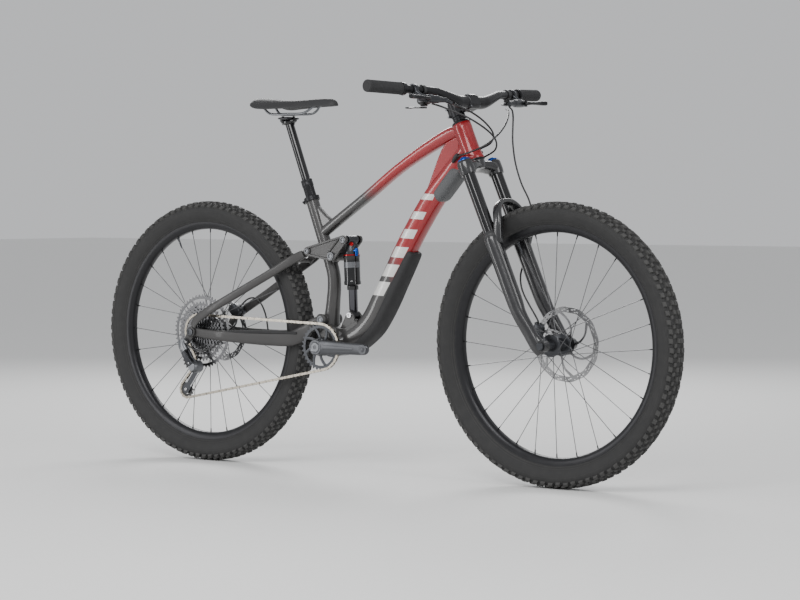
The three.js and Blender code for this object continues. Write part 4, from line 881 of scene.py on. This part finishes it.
def spoke_set(axle, flanges, flange_radius):
    wires = []
    nipples = []
    step = 2 * math.pi / (2 * SPOKE_PAIRS)
    for side, flange in enumerate(flanges):
        for i in range(2 * SPOKE_PAIRS):
            way = 1 if i % 2 else -1
            rim_angle = (i + 0.5 * side) * step
            hub_angle = rim_angle + way * SPOKE_LEAD
            hub = axle + v(flange_radius * math.cos(hub_angle), flange + way * 1.6,
                flange_radius * math.sin(hub_angle))
            rim = axle + v(NIPPLE * math.cos(rim_angle), math.copysign(2.5, flange),
                NIPPLE * math.sin(rim_angle))
            pull = (hub - rim).normalized()
            wires.append(rod(hub, rim + pull * 6, 1.0, 0.2, 8))
            nipples.append(turn(rim - pull * 2, pull,
                [(0, 0), (2, 0), (2, 4), (1.6, 12), (1.1, 13), (0, 13)], 10))
    return wires, nipples


TRACK_WIDTH = 15
DISC_HALF = 0.9


def rotor_shapes(axle, y, radius, bolt_circle):
    """A brake disc: slotted track, six swept arms and a bolted carrier."""
    rows = 6
    cells = 168
    inner = radius - TRACK_WIDTH
    verts = []
    faces = []
    for k in range(rows + 1):
        wave = 0.9 if k in (0, rows) else 0.0
        for i in range(cells):
            angle = 2 * math.pi * i / cells
            r = inner + TRACK_WIDTH * k / rows + wave * math.sin(12 * angle)
            for thick in (-DISC_HALF, DISC_HALF):
                verts.append(axle + v(r * math.cos(angle), y + thick, r * math.sin(angle)))
    kept = {(k, i) for k in range(rows) for i in range(cells)
            if not (1 <= k <= 4 and (i + 2 * k) % 7 in (0, 1) and (i // 7 + k) % 3 != 1)}

    def corner(k, i, face):
        return (k * cells + i % cells) * 2 + face

    for k, i in kept:
        for face in (0, 1):
            faces.append((corner(k, i, face), corner(k, i + 1, face), corner(k + 1, i + 1, face),
                corner(k + 1, i, face)))
        for dk, di, a, b in ((-1, 0, (k, i), (k, i + 1)), (1, 0, (k + 1, i), (k + 1, i + 1)),
                             (0, -1, (k, i), (k + 1, i)), (0, 1, (k, i + 1), (k + 1, i + 1))):
            if (k + dk, (i + di) % cells) not in kept:
                faces.append((corner(*a, 0), corner(*b, 0), corner(*b, 1), corner(*a, 1)))
    shapes = [(verts, faces)]
    for i in range(6):
        angle = i * math.pi / 3
        points = []
        for part in (0, 0.33, 0.66, 1):
            r = bolt_circle + (inner + 2 - bolt_circle) * part
            swept = angle + 0.75 * part ** 1.2
            points.append((axle + v(r * math.cos(swept), y, r * math.sin(swept)), DISC_HALF,
                4.2 - 1.4 * math.sin(math.pi * part), 8))
        shapes.append(sweep(points, 12, 5))
    shapes.append(turn(at_y(axle, y), Y,
        [(17.2, -DISC_HALF), (bolt_circle + 5, -DISC_HALF), (bolt_circle + 5, DISC_HALF),
        (17.2, DISC_HALF)], 60))
    return shapes


def wheel(end, axle, body, flanges, flange_radius, rotor, shell):
    rows = [tuple(spline(CASING, k / 3)) for k in range((len(CASING) - 1) * 3 + 1)]
    inside = [(r - 3, y * 0.86) for r, y in reversed(CASING[2:-2])]
    casing = turn(axle, Y, rows + inside, 144)
    make(f"{end}_casing", [casing], casing_rubber, body, [f"{end}_tyre"], smooth=60)
    make(f"{end}_blocks", tread_blocks(axle, 1), tread_rubber, body, smooth=30)
    beads = [turn(axle, Y, [(r - 0.7, s * (y - 0.8)), (r, s * (y + 0.25)), (r + 0.9, s * (y - 0.6))], 144)
             for s in BOTH for r, y in ((321, 20.3), (326, 23.6), (349, 31.6))]
    make(f"{end}_sidewall_lines", beads, tread_rubber, body)
    make(f"{end}_hoop", [turn(axle, Y, rim_profile(), 144)], black_satin, body,
        [f"{end}_rim"], smooth=45)
    wires, nipples = spoke_set(axle, flanges, flange_radius)
    make(f"{end}_wires", wires, spoke_steel, body, [f"{end}_spokes"])
    make(f"{end}_nipples", nipples, black_satin, body)
    valve = axle + v(math.cos(2.0), 0, math.sin(2.0)) * 297
    inward = (axle - valve).normalized()
    make(f"{end}_valve", [turn(valve, inward, [
        (0, 0), (4.5, 0), (4.5, 2), (2.6, 4), (2.6, 26), (2, 28), (2, 34), (0, 34)], 16)], dark_grey,
        body)
    make(f"{end}_hub_shell", [turn(axle, Y, shell, 48)], dark_grey, body, [f"{end}_hub"])
    radius, y = rotor
    make(f"{end}_disc", rotor_shapes(axle, y, radius, 22), rotor_steel, body,
        [f"{end}_rotor"], smooth=30)
    make(f"{end}_disc_ring", [
        turn(at_y(axle, y), Y, [(15, 0.5), (24, 0.5), (25, 1.5), (24, 4), (20, 5), (15, 5)], 48),
        *[bolt(axle + v(22 * math.cos(a), y + 3.5, 22 * math.sin(a)), Y, 3, 2) for a in
          [i * math.pi / 3 for i in range(6)]]], black_satin, body)


wheel("front", FRONT_AXLE, "front_wheel", (-27, 22), 26, (100, 47), [
    (7.9, -55), (11, -55), (11.4, -54), (11.4, -38), (14, -33), (14.5, -29.5), (29, -28.6), (30, -28),
    (30, -26),
    (29, -25.3), (18, -24), (14.5, -16), (14, 0), (14.5, 12), (18, 19), (29, 20.4), (30, 21), (30, 23),
    (29, 23.7),
    (16.5, 24.6), (15.8, 45), (15.8, 50), (12, 51), (11, 55), (7.9, 55)])
wheel("rear", REAR_AXLE, "rear_wheel", (-23, 30.5), 27, (90, 57), [
    (6.5, -74), (9, -74), (9.2, -33), (16, -30), (29, -24.7), (30, -24), (30, -22), (29, -21.3),
    (18, -20), (15.5, -12),
    (15, 0), (15.5, 16), (18, 27), (29, 28.9), (30, 29.6), (30, 31.6), (29, 32.2), (16.5, 34), (15.8, 56),
    (15.8, 60),
    (10, 61), (9, 74), (6.5, 74)])

# ---- drivetrain ----
CHAINRING_TEETH = 32
COGS = [10, 12, 14, 16, 18, 21, 24, 28, 32, 36, 42, 52]
CHAIN_COG = COGS.index(24)
PULLEY_TEETH = 12


def arms(centre, inner, outer, y, thickness, count, sweep_angle, width):
    """Slanted flat arms between two radii of a sprocket."""
    made = []
    for i in range(count):
        start = 2 * math.pi * i / count
        points = [(centre.x + r * math.cos(a), y, centre.z + r * math.sin(a)) for r, a in
                  ((inner, start), ((inner + outer) / 2, start + sweep_angle * 0.5),
                  (outer, start + sweep_angle))]
        made.append(sweep([(Vector(p), thickness / 2, width / 2, 6) for p in points], 12, 4))
    return made


ring = gear_radius(CHAINRING_TEETH)
make("ring_teeth", [
    toothed(CRANK, CHAINRING_TEETH, CHAIN_Y, 2.2, ring - 12, 2.2, 4.4),
    *arms(CRANK, 22, ring - 10, CHAIN_Y, 3, 8, 0.35, 8),
    turn(at_y(CRANK, CHAIN_Y), Y, [(15.4, -4), (24, -4), (26, -1.5), (26, 1.5), (24, 4), (15.4, 4)], 40)],
    dark_grey, "crank", ["chainring"], smooth=30)
cog_shapes = []
for index, teeth in enumerate(COGS):
    y = CHAIN_Y + (index - CHAIN_COG) * 3.5
    outer = gear_radius(teeth)
    hole = max(17.5, outer - 11)
    cog_shapes.append(toothed(REAR_AXLE, teeth, y, 1.8, hole, 2.2, 4.0))
    if hole > 20:
        cog_shapes += arms(REAR_AXLE, 17, hole + 2, y, 1.6, 8 if index > 8 else 6, 0.45, 7)
make("cogs_steel", cog_shapes, cog_steel, "cogs", ["cassette"], smooth=30)
make("cog_carrier", [turn(at_y(REAR_AXLE, CHAIN_Y), Y, [
    (9.5, -23), (15, -23), (16, -21), (17.4, -20), (17.4, 17), (9.5, 17)], 40)], dark_grey, "cogs")

CHAIN_CIRCLES = [(CRANK, ring, 1), (REAR_AXLE, gear_radius(24), 1),
                 (GUIDE_PULLEY, gear_radius(PULLEY_TEETH), -1),
                 (TENSION_PULLEY, gear_radius(PULLEY_TEETH), 1)]


def chain_joints():
    """Pin centres, evenly spaced round the chain's path."""
    path = [v(x, CHAIN_Y, z) for x, z in belt_path(CHAIN_CIRCLES, 0.03)]
    path.append(path[0])
    lengths = [0.0]
    for a, b in zip(path, path[1:]):
        lengths.append(lengths[-1] + (b - a).length)
    count = 2 * round(lengths[-1] / PITCH / 2)
    joints = []
    k = 0
    for i in range(count):
        wanted = lengths[-1] * i / count
        while lengths[k + 1] < wanted:
            k += 1
        part = (wanted - lengths[k]) / max(lengths[k + 1] - lengths[k], 1e-9)
        joints.append(path[k].lerp(path[k + 1], part))
    return joints


def chain_link(a, b, outer):
    """Two waisted side plates between neighbouring pins, with a roller on the first."""
    along = (b - a).normalized()
    up = along.cross(Y)
    half = (b - a).length / 2
    outline = []
    for k in range(20):
        angle = 2 * math.pi * (k + 0.5) / 20
        reach = (half + 4.1) * math.cos(angle)
        pinch = 1 - 0.34 * math.cos(math.pi * min(1.0, abs(reach) / half) / 2) ** 2
        side = 4.2 * math.copysign(abs(math.sin(angle)) ** 0.62, math.sin(angle)) * pinch
        outline.append((a + b) / 2 + along * reach + up * side)
    shapes = []
    offset = 2.4 if outer else 1.35
    for s in BOTH:
        verts = [p + Y * s * d for d in (offset, offset + 0.95) for p in outline]
        count = len(outline)
        faces = grid_faces(2, count)
        faces += [tuple(range(count)), tuple(range(count, 2 * count))]
        shapes.append((verts, faces))
    shapes.append(rod(a - Y * 1.3, a + Y * 1.3, 3.9, 0.2, 12))
    shapes.append(rod(a - Y * 3.5, a + Y * 3.5, 1.8, 0.2, 10))
    return shapes


joints = chain_joints()
groups = {"main": [], "cogs": [], "cage": []}
for i, a in enumerate(joints):
    b = joints[(i + 1) % len(joints)]
    middle = (a + b) / 2
    if middle.x > -520:
        key = "main"
    elif middle.z > 318:
        key = "cogs"
    else:
        key = "cage"
    groups[key] += chain_link(a, b, i % 2 == 0)
make("chain_main", groups["main"], chain_steel, None, ["chain"], smooth=35,
     blend=("frame", "swingarm", v(-240, 0, 380), v(-520, 0, 380)))
make("chain_cogs", groups["cogs"], chain_steel, None, smooth=35,
     blend=("swingarm", "cage", v(-620, 0, 335), v(-620, 0, 305)))
make("chain_cage", groups["cage"], chain_steel, None, smooth=35,
     blend=("cage", "swingarm", v(-625, 0, 240), v(-522, 0, 240)))


def crank_arm(side):
    sign = -side
    base = at_y(CRANK, side * 65)
    tip = v(CRANK.x + sign * 175, side * 78, CRANK.z)
    out = [
        sweep([(base - X * sign * 20, 4, 10, 2.6), (base - X * sign * 12, 7, 18, 2.6), (base, 8, 21, 2.6),
               (base + v(sign * 30, side * 1.5, 0), 8, 20.5, 2.8),
               (base + v(sign * 60, side * 3.5, 0), 7.5, 19, 3),
               (base + v(sign * 120, side * 9, 0), 7, 16.5, 3), (tip - X * sign * 10, 7, 15.8, 2.8),
               (tip + X * sign * 7, 6.5, 14, 2.6), (tip + X * sign * 15, 4, 8, 2.4)], 32, 6),
        sweep([(base + v(sign * 24, side * 9.2, 0), 1.2, 7, 2.4),
        (base + v(sign * 60, side * 11, 0), 1.4, 6.5, 2.4),
               (base + v(sign * 140, side * 17.2, 0), 1.2, 4, 2.4)], 16, 5),
        pin(CRANK, min(side * 56, side * 75), max(side * 56, side * 75), 22, 2, 48),
        turn(at_y(tip, side * 70.5), Y * side,
        [(7, 0), (13, 0), (14, 1), (14, 14.7), (13.2, 15.5), (7.6, 15.5), (7, 15)], 40)]
    return out


make("crank_right", [*crank_arm(-1), pin(CRANK, -60, 60, 15, 0.5)], crank_grey, "crank",
    ["crank_arm_right"])
make("crank_left", crank_arm(1), crank_grey, "crank", ["crank_arm_left"])
make("crank_bolts", [turn(at_y(CRANK, s * 75), Y * s, [
    (0, -1), (6, -1), (6, 0.6), (12.5, 0.6), (14, 1.8), (15, 0.4), (15, -0.5), (0, -1.5)],
    36) for s in BOTH],
    mid_grey, "crank")

for name, centre, body in (("guide_pulley", GUIDE_PULLEY, "guide_wheel"),
    ("tension_pulley", TENSION_PULLEY, "tension_wheel")):
    make(f"{name}_teeth", [
        toothed(centre, PULLEY_TEETH, CHAIN_Y, 2.2, 14, 1.8, 4.6),
        *arms(centre, 7, 15, CHAIN_Y, 2, 5, 0.3, 5),
        turn(at_y(centre, CHAIN_Y), Y, [(3.3, -2.4), (7.5, -2.4), (8, -1.8), (8, 1.8), (7.5, 2.4),
        (3.3, 2.4)], 24)],
        moulded, body, [name], smooth=30)


def cage_plate(low, high, knuckle):
    return [link_plate(knuckle, TENSION_PULLEY, 12, 12.5, low, high),
        link_plate(knuckle, GUIDE_PULLEY, 13, 9, low, high)]


def cage_rim(y):
    """Raised bright edges down both sides of the long plate."""
    along = (TENSION_PULLEY - CAGE_PIVOT).normalized()
    sideways = v(-along.z, 0, along.x)
    return [sweep([(at_y(CAGE_PIVOT + along * a + sideways * s * 9.5, y), 1.2, 2.2, 3) for a in (12, 40,
        68)], 12, 3)
            for s in BOTH]


make("cage_edges", cage_rim(CHAIN_Y - 6.2), silver, "cage")
make("cage_outer", cage_plate(CHAIN_Y - 6, CHAIN_Y - 4.2, CAGE_PIVOT), dark_grey, "cage",
     ["derailleur_cage"], 0.5)
make("cage_inner", cage_plate(CHAIN_Y + 3.8, CHAIN_Y + 5.2, v(-628, 0, 262)), dark_grey, "cage",
    bevel=0.4)
make("cage_bolts", [
    *[bolt(at_y(p, CHAIN_Y - 6), -Y, 4.5, 2.2) for p in (GUIDE_PULLEY, TENSION_PULLEY)],
    *[pin(p, CHAIN_Y - 5, CHAIN_Y + 5, 3, 0.3, 16) for p in (GUIDE_PULLEY, TENSION_PULLEY)]],
    silver, "cage")
make("derailleur_knuckles", [
    turn(at_y(CAGE_PIVOT, CHAIN_Y - 6.6), -Y, [
        (0, 0), (17, 0), (18, 1), (18, 20), (17, 24), (16.4, 27), (13, 32), (12, 35), (0, 35)], 40),
    turn(at_y(HANGER, -80.4), -Y, [(0, 0), (12, 0), (13, 1), (13, 11), (11.5, 14), (0, 14)], 36),
    sweep([(v(-634, -90, 352), 8, 10, 2.6), (v(-630, -93, 338), 9, 13, 2.6),
    (v(-618, -94, 322), 9, 13, 2.6)], 24, 5)],
    mid_grey, "swingarm", ["derailleur_body"], 0.6)
make("derailleur_links", [
    sweep([(v(-630, -98, 334), 3, 9, 3), (v(-616, -97, 306), 3, 8, 3), (v(-600, -92, 284), 3, 9, 3)], 20,
    5),
    sweep([(v(-622, -84, 328), 4, 8, 3), (v(-608, -82, 304), 4, 7, 3), (v(-594, -78, 288), 4, 8, 3)], 20,
    5)],
    dark_grey, "swingarm", bevel=0.5)
make("derailleur_screws", [
    bolt(at_y(HANGER, -94), -Y, 5.5, 3), bolt(v(-627, -101, 330), -Y, 3, 2),
    bolt(v(-604, -96, 288), -Y, 3, 2),
    bolt(v(-616, -94, 346), v(-0.2, 0, 1), 3, 6)], silver, "swingarm")

# ---- rear suspension ----
def chainstay(s):
    return [
        sweep([(v(-158, s * 34, 424), 6.5, 12, 3), (v(-192, s * 35, 412), 7, 15, 3),
        (v(-222, s * 38, 386), 7, 21, 3),
               (v(-262, s * 46, 368), 7.5, 20.5, 3), (v(-327, s * 53.5, 366), 7.5, 20, 3),
               (v(-400, s * 64, 367), 7.5, 18, 3),
               (v(-490, s * 78, 370), 6.5, 15, 3), (v(-560, s * 78.5, 374), 5, 13, 3),
               (v(-596, s * 77.3, 378), 2.7, 12, 3)],
              28, 6),
        pin(SWING_PIVOT, min(s * 27, s * 41), max(s * 27, s * 41), 17, 2, 40),
        pin(REAR_AXLE, min(s * 74.6, s * 80), max(s * 74.6, s * 80), 16, 1)]


make("lower_stays", [
    *chainstay(1), *chainstay(-1),
    sweep([(v(-208, -37, 402), 9, 15, 3), (v(-208, 0, 402), 8, 13, 3), (v(-208, 37, 402), 9, 15, 3)], 24,
    6, X),
    link_plate(REAR_AXLE, HANGER, 14, 9, -80, -75)], charcoal_paint, "swingarm",
    ["chainstays"], smooth=50)
make("stay_guard", [sweep([
    (v(-240, -45, 384), 6, 4, 3), (v(-300, -51, 385), 9, 5, 3), (v(-400, -64, 384), 9, 5, 3),
    (v(-470, -75, 382), 6, 4, 3)],
    20, 6)], rubber, "swingarm")


def ring_bolt(point, y, s, radius):
    """A large recessed pivot bolt."""
    return turn(at_y(point, y), Y * s, [
        (0, 0.6), (radius * 0.45, 0.6), (radius * 0.5, 2.4), (radius * 0.72, 2.8), (radius * 0.8, 1.8),
        (radius * 0.94, 1.8), (radius, 0.8), (radius, -1), (0, -1)], 40)


make("swing_bolts", [ring_bolt(SWING_PIVOT, s * 41, s, 11) for s in BOTH], mid_grey, "swingarm")


def seatstay(s):
    low, high = sorted((s * 21.5, s * 29.6))
    foot_low, foot_high = sorted((s * 80.7, s * 87))
    return [
        sweep([(v(-598, s * 83.8, 394), 3, 10, 3), (v(-584, s * 83.8, 414), 3.2, 12, 3),
        (v(-556, s * 83, 431), 5, 12, 3),
               (v(-520, s * 81.5, 451), 6, 12, 3), (v(-437, s * 72, 494), 6.5, 12, 3),
               (v(-340, s * 56, 546), 6.5, 12, 3),
               (v(-266, s * 46, 586), 6.5, 13, 3), (v(-238, s * 39, 601), 5.5, 13, 3),
               (v(-226, s * 35, 608), 4, 11, 3)], 28, 6),
        sweep([(v(-266, s * 42, 586), 4, 11, 3), (v(-242, s * 28, 600), 4, 11, 3),
        (v(-212, s * 25.5, 615), 3.8, 10, 3)], 20, 5),
        pin(ROCKER_STAY, low, high, 11, 0.8), pin(REAR_AXLE, foot_low, foot_high, 15, 1)]


make("upper_stay_tubes", [
    *seatstay(1), *seatstay(-1),
    sweep([(v(-262, -46, 589), 10, 8, 3), (v(-262, 0, 589), 9, 7, 3), (v(-262, 46, 589), 10, 8, 3)], 24,
    6, X)],
    charcoal_paint, "upper_stays", ["seatstays"], smooth=50)
make("wheel_axle_rear", [pin(REAR_AXLE, -90, 90, 6, 0.6), *[
    turn(at_y(REAR_AXLE, s * 87.4), Y * s, [
        (0, 0), (10, 0), (10.6, 1), (10, 3.2), (5, 3.4), (4.4, 1.5), (0, 1.5)], 36) for s in BOTH]],
    dark_grey, "swingarm", ["rear_axle"])


def rocker_side(s):
    """A forged plate with a raised rim round a pocket, and an eye at each corner."""
    eyes = ((ROCKER_STAY, 12), (ROCKER_PIVOT, 13.5), (ROCKER_SHOCK, 12.5))
    outer = belt_path([(point, radius, 1) for point, radius in eyes])
    inner = belt_path([(point, radius - 5.5, 1) for point, radius in eyes])
    shapes = [ring_plate(outer, inner, *sorted((s * 30.5, s * 37.5))),
        plate(inner, *sorted((s * 31.5, s * 34)))]
    for point, radius in eyes:
        shapes.append(pin(point, *sorted((s * 30.5, s * 38.2)), radius - 1.5, 1, 40))
    rib = [(at_y(ROCKER_PIVOT.lerp(ROCKER_SHOCK, part) + v(-14, 0, 5), s * 34.5), 2.6, 2.6,
        3) for part in (0.05, 0.95)]
    shapes.append(sweep(rib, 12, 4))
    return shapes


make("rocker_plates", [*rocker_side(1), *rocker_side(-1), pin(ROCKER_PIVOT, -30, 30, 8, 0.5)],
     charcoal_paint, "rocker", ["rocker_link"], 0.8)
make("rocker_bolts", [ring_bolt(p, s * 38.5, s, r) for s in BOTH for p, r in
                      ((ROCKER_STAY, 7.5), (ROCKER_PIVOT, 11), (ROCKER_SHOCK, 9))], mid_grey, "rocker")
make("rocker_pins", [pin(ROCKER_SHOCK, min(s * 23, s * 31), max(s * 23, s * 31), 8, 0.4) for s in BOTH],
     dark_grey, "rocker")

# ---- shock ----
make("shock_rod_tube", [
    turn(SHOCK_FOOT, SHOCK_UP, [(0, 10), (11, 10), (11, 12), (12.5, 14), (12.5, 118), (0, 118)], 40)],
    shaft_chrome, "shock_rod", ["shock_shaft"])
make("shock_eye", [pin(SHOCK_FOOT, -13, 13, 11.5, 1), turn(SHOCK_FOOT, SHOCK_UP, [
    (0, 6), (10, 6), (11.6, 9), (11.6, 13), (0, 13)], 32)], black_satin, "shock_rod")
make("shock_air_can", [
    turn(SHOCK_FOOT, SHOCK_UP, [
        (12.8, 70), (15.4, 70), (16, 71), (16, 81), (22.6, 84), (23.8, 85), (23.8, 93), (23, 95),
        (22.6, 96), (22.6, 158),
        (23, 160), (23.6, 161.5), (23.6, 166), (12.8, 166)], 48)],
    black_gloss, "shock_body", ["shock_can"])
make("shock_head", [
    turn(SHOCK_FOOT, SHOCK_UP, [(0, 169), (21, 169), (21.5, 170), (20.5, 180), (18.5, 188), (16, 196),
    (12, 203), (0, 205)], 40),
    pin(ROCKER_SHOCK, -20, 20, 12, 1),
    rod(shock(176) + v(8, 0, 0), shock(196) + v(15, 0, 3), 9, 2)], dark_grey, "shock_body")
make("shock_red_ring", [
    turn(SHOCK_FOOT, SHOCK_UP, [(18, 166), (23.4, 166.2), (23.4, 168.6), (18, 168.8)], 48),
    turn(shock(196) + v(8, -8, 2), v(0.3, -1, 0.1), [(0, 0), (5.5, 0), (6, 1), (6, 5), (5, 6), (0, 6)],
    24)],
    red, "shock_body")
make("shock_blue_lever", [
    rod(shock(180) + v(18, -8, 0), shock(180) + v(27, -8, 0), 5.6, 1),
    sweep([(shock(186) + v(26, -9, 0), 3, 5, 3), (shock(178) + v(27, -11, 0), 3.2, 5.5, 3),
           (shock(165) + v(28, -12, 0), 2.6, 4, 3)], 20, 4, X)],
    blue, "shock_body")
make("shock_band", [turn(SHOCK_FOOT, SHOCK_UP, [(22, 132), (22.75, 132), (22.75, 148), (22, 148)], 48)],
     mid_grey, "shock_body")


# ---- brake calipers ----
def caliper_shapes(axle, middle, low, high):
    outward = (middle - axle).normalized()
    sideways = v(-outward.z, 0, outward.x)
    shapes = []
    for a, b in ((low, low + (high - low) * 0.44), (low + (high - low) * 0.56, high)):
        shapes.append(sweep([(at_y(middle, a), 17, 13, 3), (at_y(middle, a + 2), 21, 16, 3),
                             (at_y(middle, b - 2), 21, 16, 3), (at_y(middle, b), 17, 13, 3)], 32, 4,
                             sideways))
    top = middle + outward * 11
    shapes.append(sweep([(at_y(top, low + 3), 15, 5, 3), (at_y(top, high - 3), 15, 5, 3)], 24, 4,
        sideways))
    for k in (-1, 1):
        shapes.append(bolt(at_y(middle + sideways * k * 15 + outward * 8, high - 1), Y, 3.4, 3))
    shapes.append(turn(at_y(middle, high - 1), Y,
        [(0, 0), (9, 0), (9.5, 1), (9.5, 2.5), (8, 3.2), (0, 3.2)], 28))
    return shapes


FRONT_CALIPER = steer(-484, -23)
REAR_CALIPER = v(-551, 0, 437)
make("caliper_front", [
    *caliper_shapes(FRONT_AXLE, FRONT_CALIPER, 35, 51),
    sweep([(at_y(FRONT_CALIPER + STEER_UP * 26, 50), 5, 6, 2.6),
    (at_y(FRONT_CALIPER - STEER_UP * 24, 50), 5, 6, 2.6)], 16, 4, X)],
    dark_grey, "fork_slider", ["front_caliper"], 0.5)
make("caliper_rear", caliper_shapes(REAR_AXLE, REAR_CALIPER, 42, 74), dark_grey, "upper_stays",
    ["rear_caliper"], 0.5)

# ---- hoses and housings ----
FRONT_HOSE = [v(364, 130, 1012), v(381, 118, 1003), v(394, 104, 984), v(400, 94, 955), v(404, 88, 915),
    v(414, 86, 860),
              v(432, 88, 805), v(455, 94, 755), v(466, 97, 700), v(455, 97, 640), v(446, 84, 595),
              v(449, 60, 555),
              v(468, 46, 510), at_y(FRONT_CALIPER, 43.5) + v(-3, 0, 32),
              at_y(FRONT_CALIPER, 43.5) + v(0, 0, 20)]
REAR_HOSE = [v(364, -130, 1012), v(381, -112, 1003), v(395, -70, 984), v(399, -25, 960), v(393, 12, 935),
             v(368, 34, 912), v(336, 28.5, 896), v(322, 22, 880)]
SHIFT_HOUSING = [v(321, -170, 1014), v(345, -150, 1004), v(380, -95, 980), v(402, -40, 950),
    v(404, 5, 922),
                 v(386, 32, 896), v(352, 36, 878), v(331, 27, 868), v(316, 18, 858)]
POST_HOUSING = [v(312, 190, 1010), v(345, 152, 1002), v(384, 95, 985), v(410, 40, 958), v(415, -5, 930),
    v(392, -36, 902),
                v(345, -38, 886), v(300, -29, 876), v(280, -18, 866)]
HOSE_TAIL = [at_y(REAR_CALIPER, 60) + v(11, 0, 12), v(-514, 62, 470), v(-489, 65, 474), v(-468, 68, 458),
    v(-452, 70, 425),
             v(-440, 66, 382)]
HOUSING_TAIL = [v(-494, -77, 356), v(-520, -83, 338), v(-545, -88, 328), v(-575, -92, 326),
    v(-598, -94, 334),
                v(-616, -94, 346)]
NECK = v(345, 0, 885)
FREE = v(398, 0, 962)
make("hose_front", [hose(FRONT_HOSE, 2.5)], hose_black, None, ["front_brake_hose"],
     blend=("fork_slider", "steering", v(452, 0, 640), v(404, 0, 930)))
for name, route, node in (("hose_rear", REAR_HOSE, "rear_brake_hose"),
    ("housing_shift", SHIFT_HOUSING, "shift_housing"),
                          ("housing_post", POST_HOUSING, "dropper_housing")):
    make(name, [hose(route, 2.5)], hose_black, None, [node],
        blend=("frame", "steering", NECK, FREE))
make("hose_tail", [hose(HOSE_TAIL, 2.5)], hose_black, None, ["rear_hose_tail"],
     blend=("upper_stays", "swingarm", v(-488, 0, 470), v(-442, 0, 390)))
make("housing_tail", [hose(HOUSING_TAIL, 2.5)], hose_black, "swingarm",
    ["shift_housing_tail"])

# ---- floor, lights and camera ----
def area_light(name, place, target, size, power, color=(1, 1, 1)):
    data = bpy.data.lights.new(name, "AREA")
    data.shape = "RECTANGLE"
    data.size = size[0]
    data.size_y = size[1]
    data.energy = power
    data.color = color
    light = bpy.data.objects.new(name, data)
    light.location = place
    light.rotation_euler = (Vector(target) - Vector(place)).to_track_quat("-Z", "Y").to_euler()
    bpy.context.scene.collection.objects.link(light)


def studio():
    floor_mesh = bpy.data.meshes.new("floor")
    floor_mesh.from_pydata([(-30, -30, 0), (30, -30, 0), (30, 30, 0), (-30, 30, 0)], [], [(0, 1, 2, 3)])
    floor = bpy.data.objects.new("floor", floor_mesh)
    bpy.context.scene.collection.objects.link(floor)
    floor_mesh.materials.append(finish("floor_paint", (0.78, 0.78, 0.77), 0.7, 0.0, 60.0, 0.02, 0.02))
    world = bpy.data.worlds.new("studio")
    world.use_nodes = True
    world.node_tree.nodes["Background"].inputs["Color"].default_value = (0.84, 0.85, 0.87, 1)
    world.node_tree.nodes["Background"].inputs["Strength"].default_value = 0.75
    bpy.context.scene.world = world
    area_light("key", (1.2, -3.6, 3.4), (0, 0, 0.5), (2.6, 2.0), 130)
    area_light("front_fill", (4.5, -0.5, 2.2), (0, 0, 0.5), (1.6, 2.4), 60)
    area_light("rim_left", (-2.2, 3.0, 2.6), (0, 0, 0.6), (2.4, 1.2), 90)
    area_light("side_strip", (-2.6, -3.0, 1.2), (0, 0, 0.5), (0.5, 2.4), 40)


CAMERA_PLACE = (4.2023, -5.4742, 0.7631)
CAMERA_YAW = math.radians(126.92)
CAMERA_PITCH = math.radians(-2.33)
CAMERA_LENS = 111.95
SENSOR_WIDTH = 36


def camera():
    look = Vector((math.cos(CAMERA_YAW) * math.cos(CAMERA_PITCH),
        math.sin(CAMERA_YAW) * math.cos(CAMERA_PITCH),
                   math.sin(CAMERA_PITCH)))
    data = bpy.data.cameras.new("camera")
    data.lens = CAMERA_LENS
    data.sensor_width = SENSOR_WIDTH
    data.clip_end = 100
    obj = bpy.data.objects.new("camera", data)
    obj.location = CAMERA_PLACE
    obj.rotation_euler = look.to_track_quat("-Z", "Y").to_euler()
    bpy.context.scene.collection.objects.link(obj)
    bpy.context.scene.camera = obj


studio()
camera()
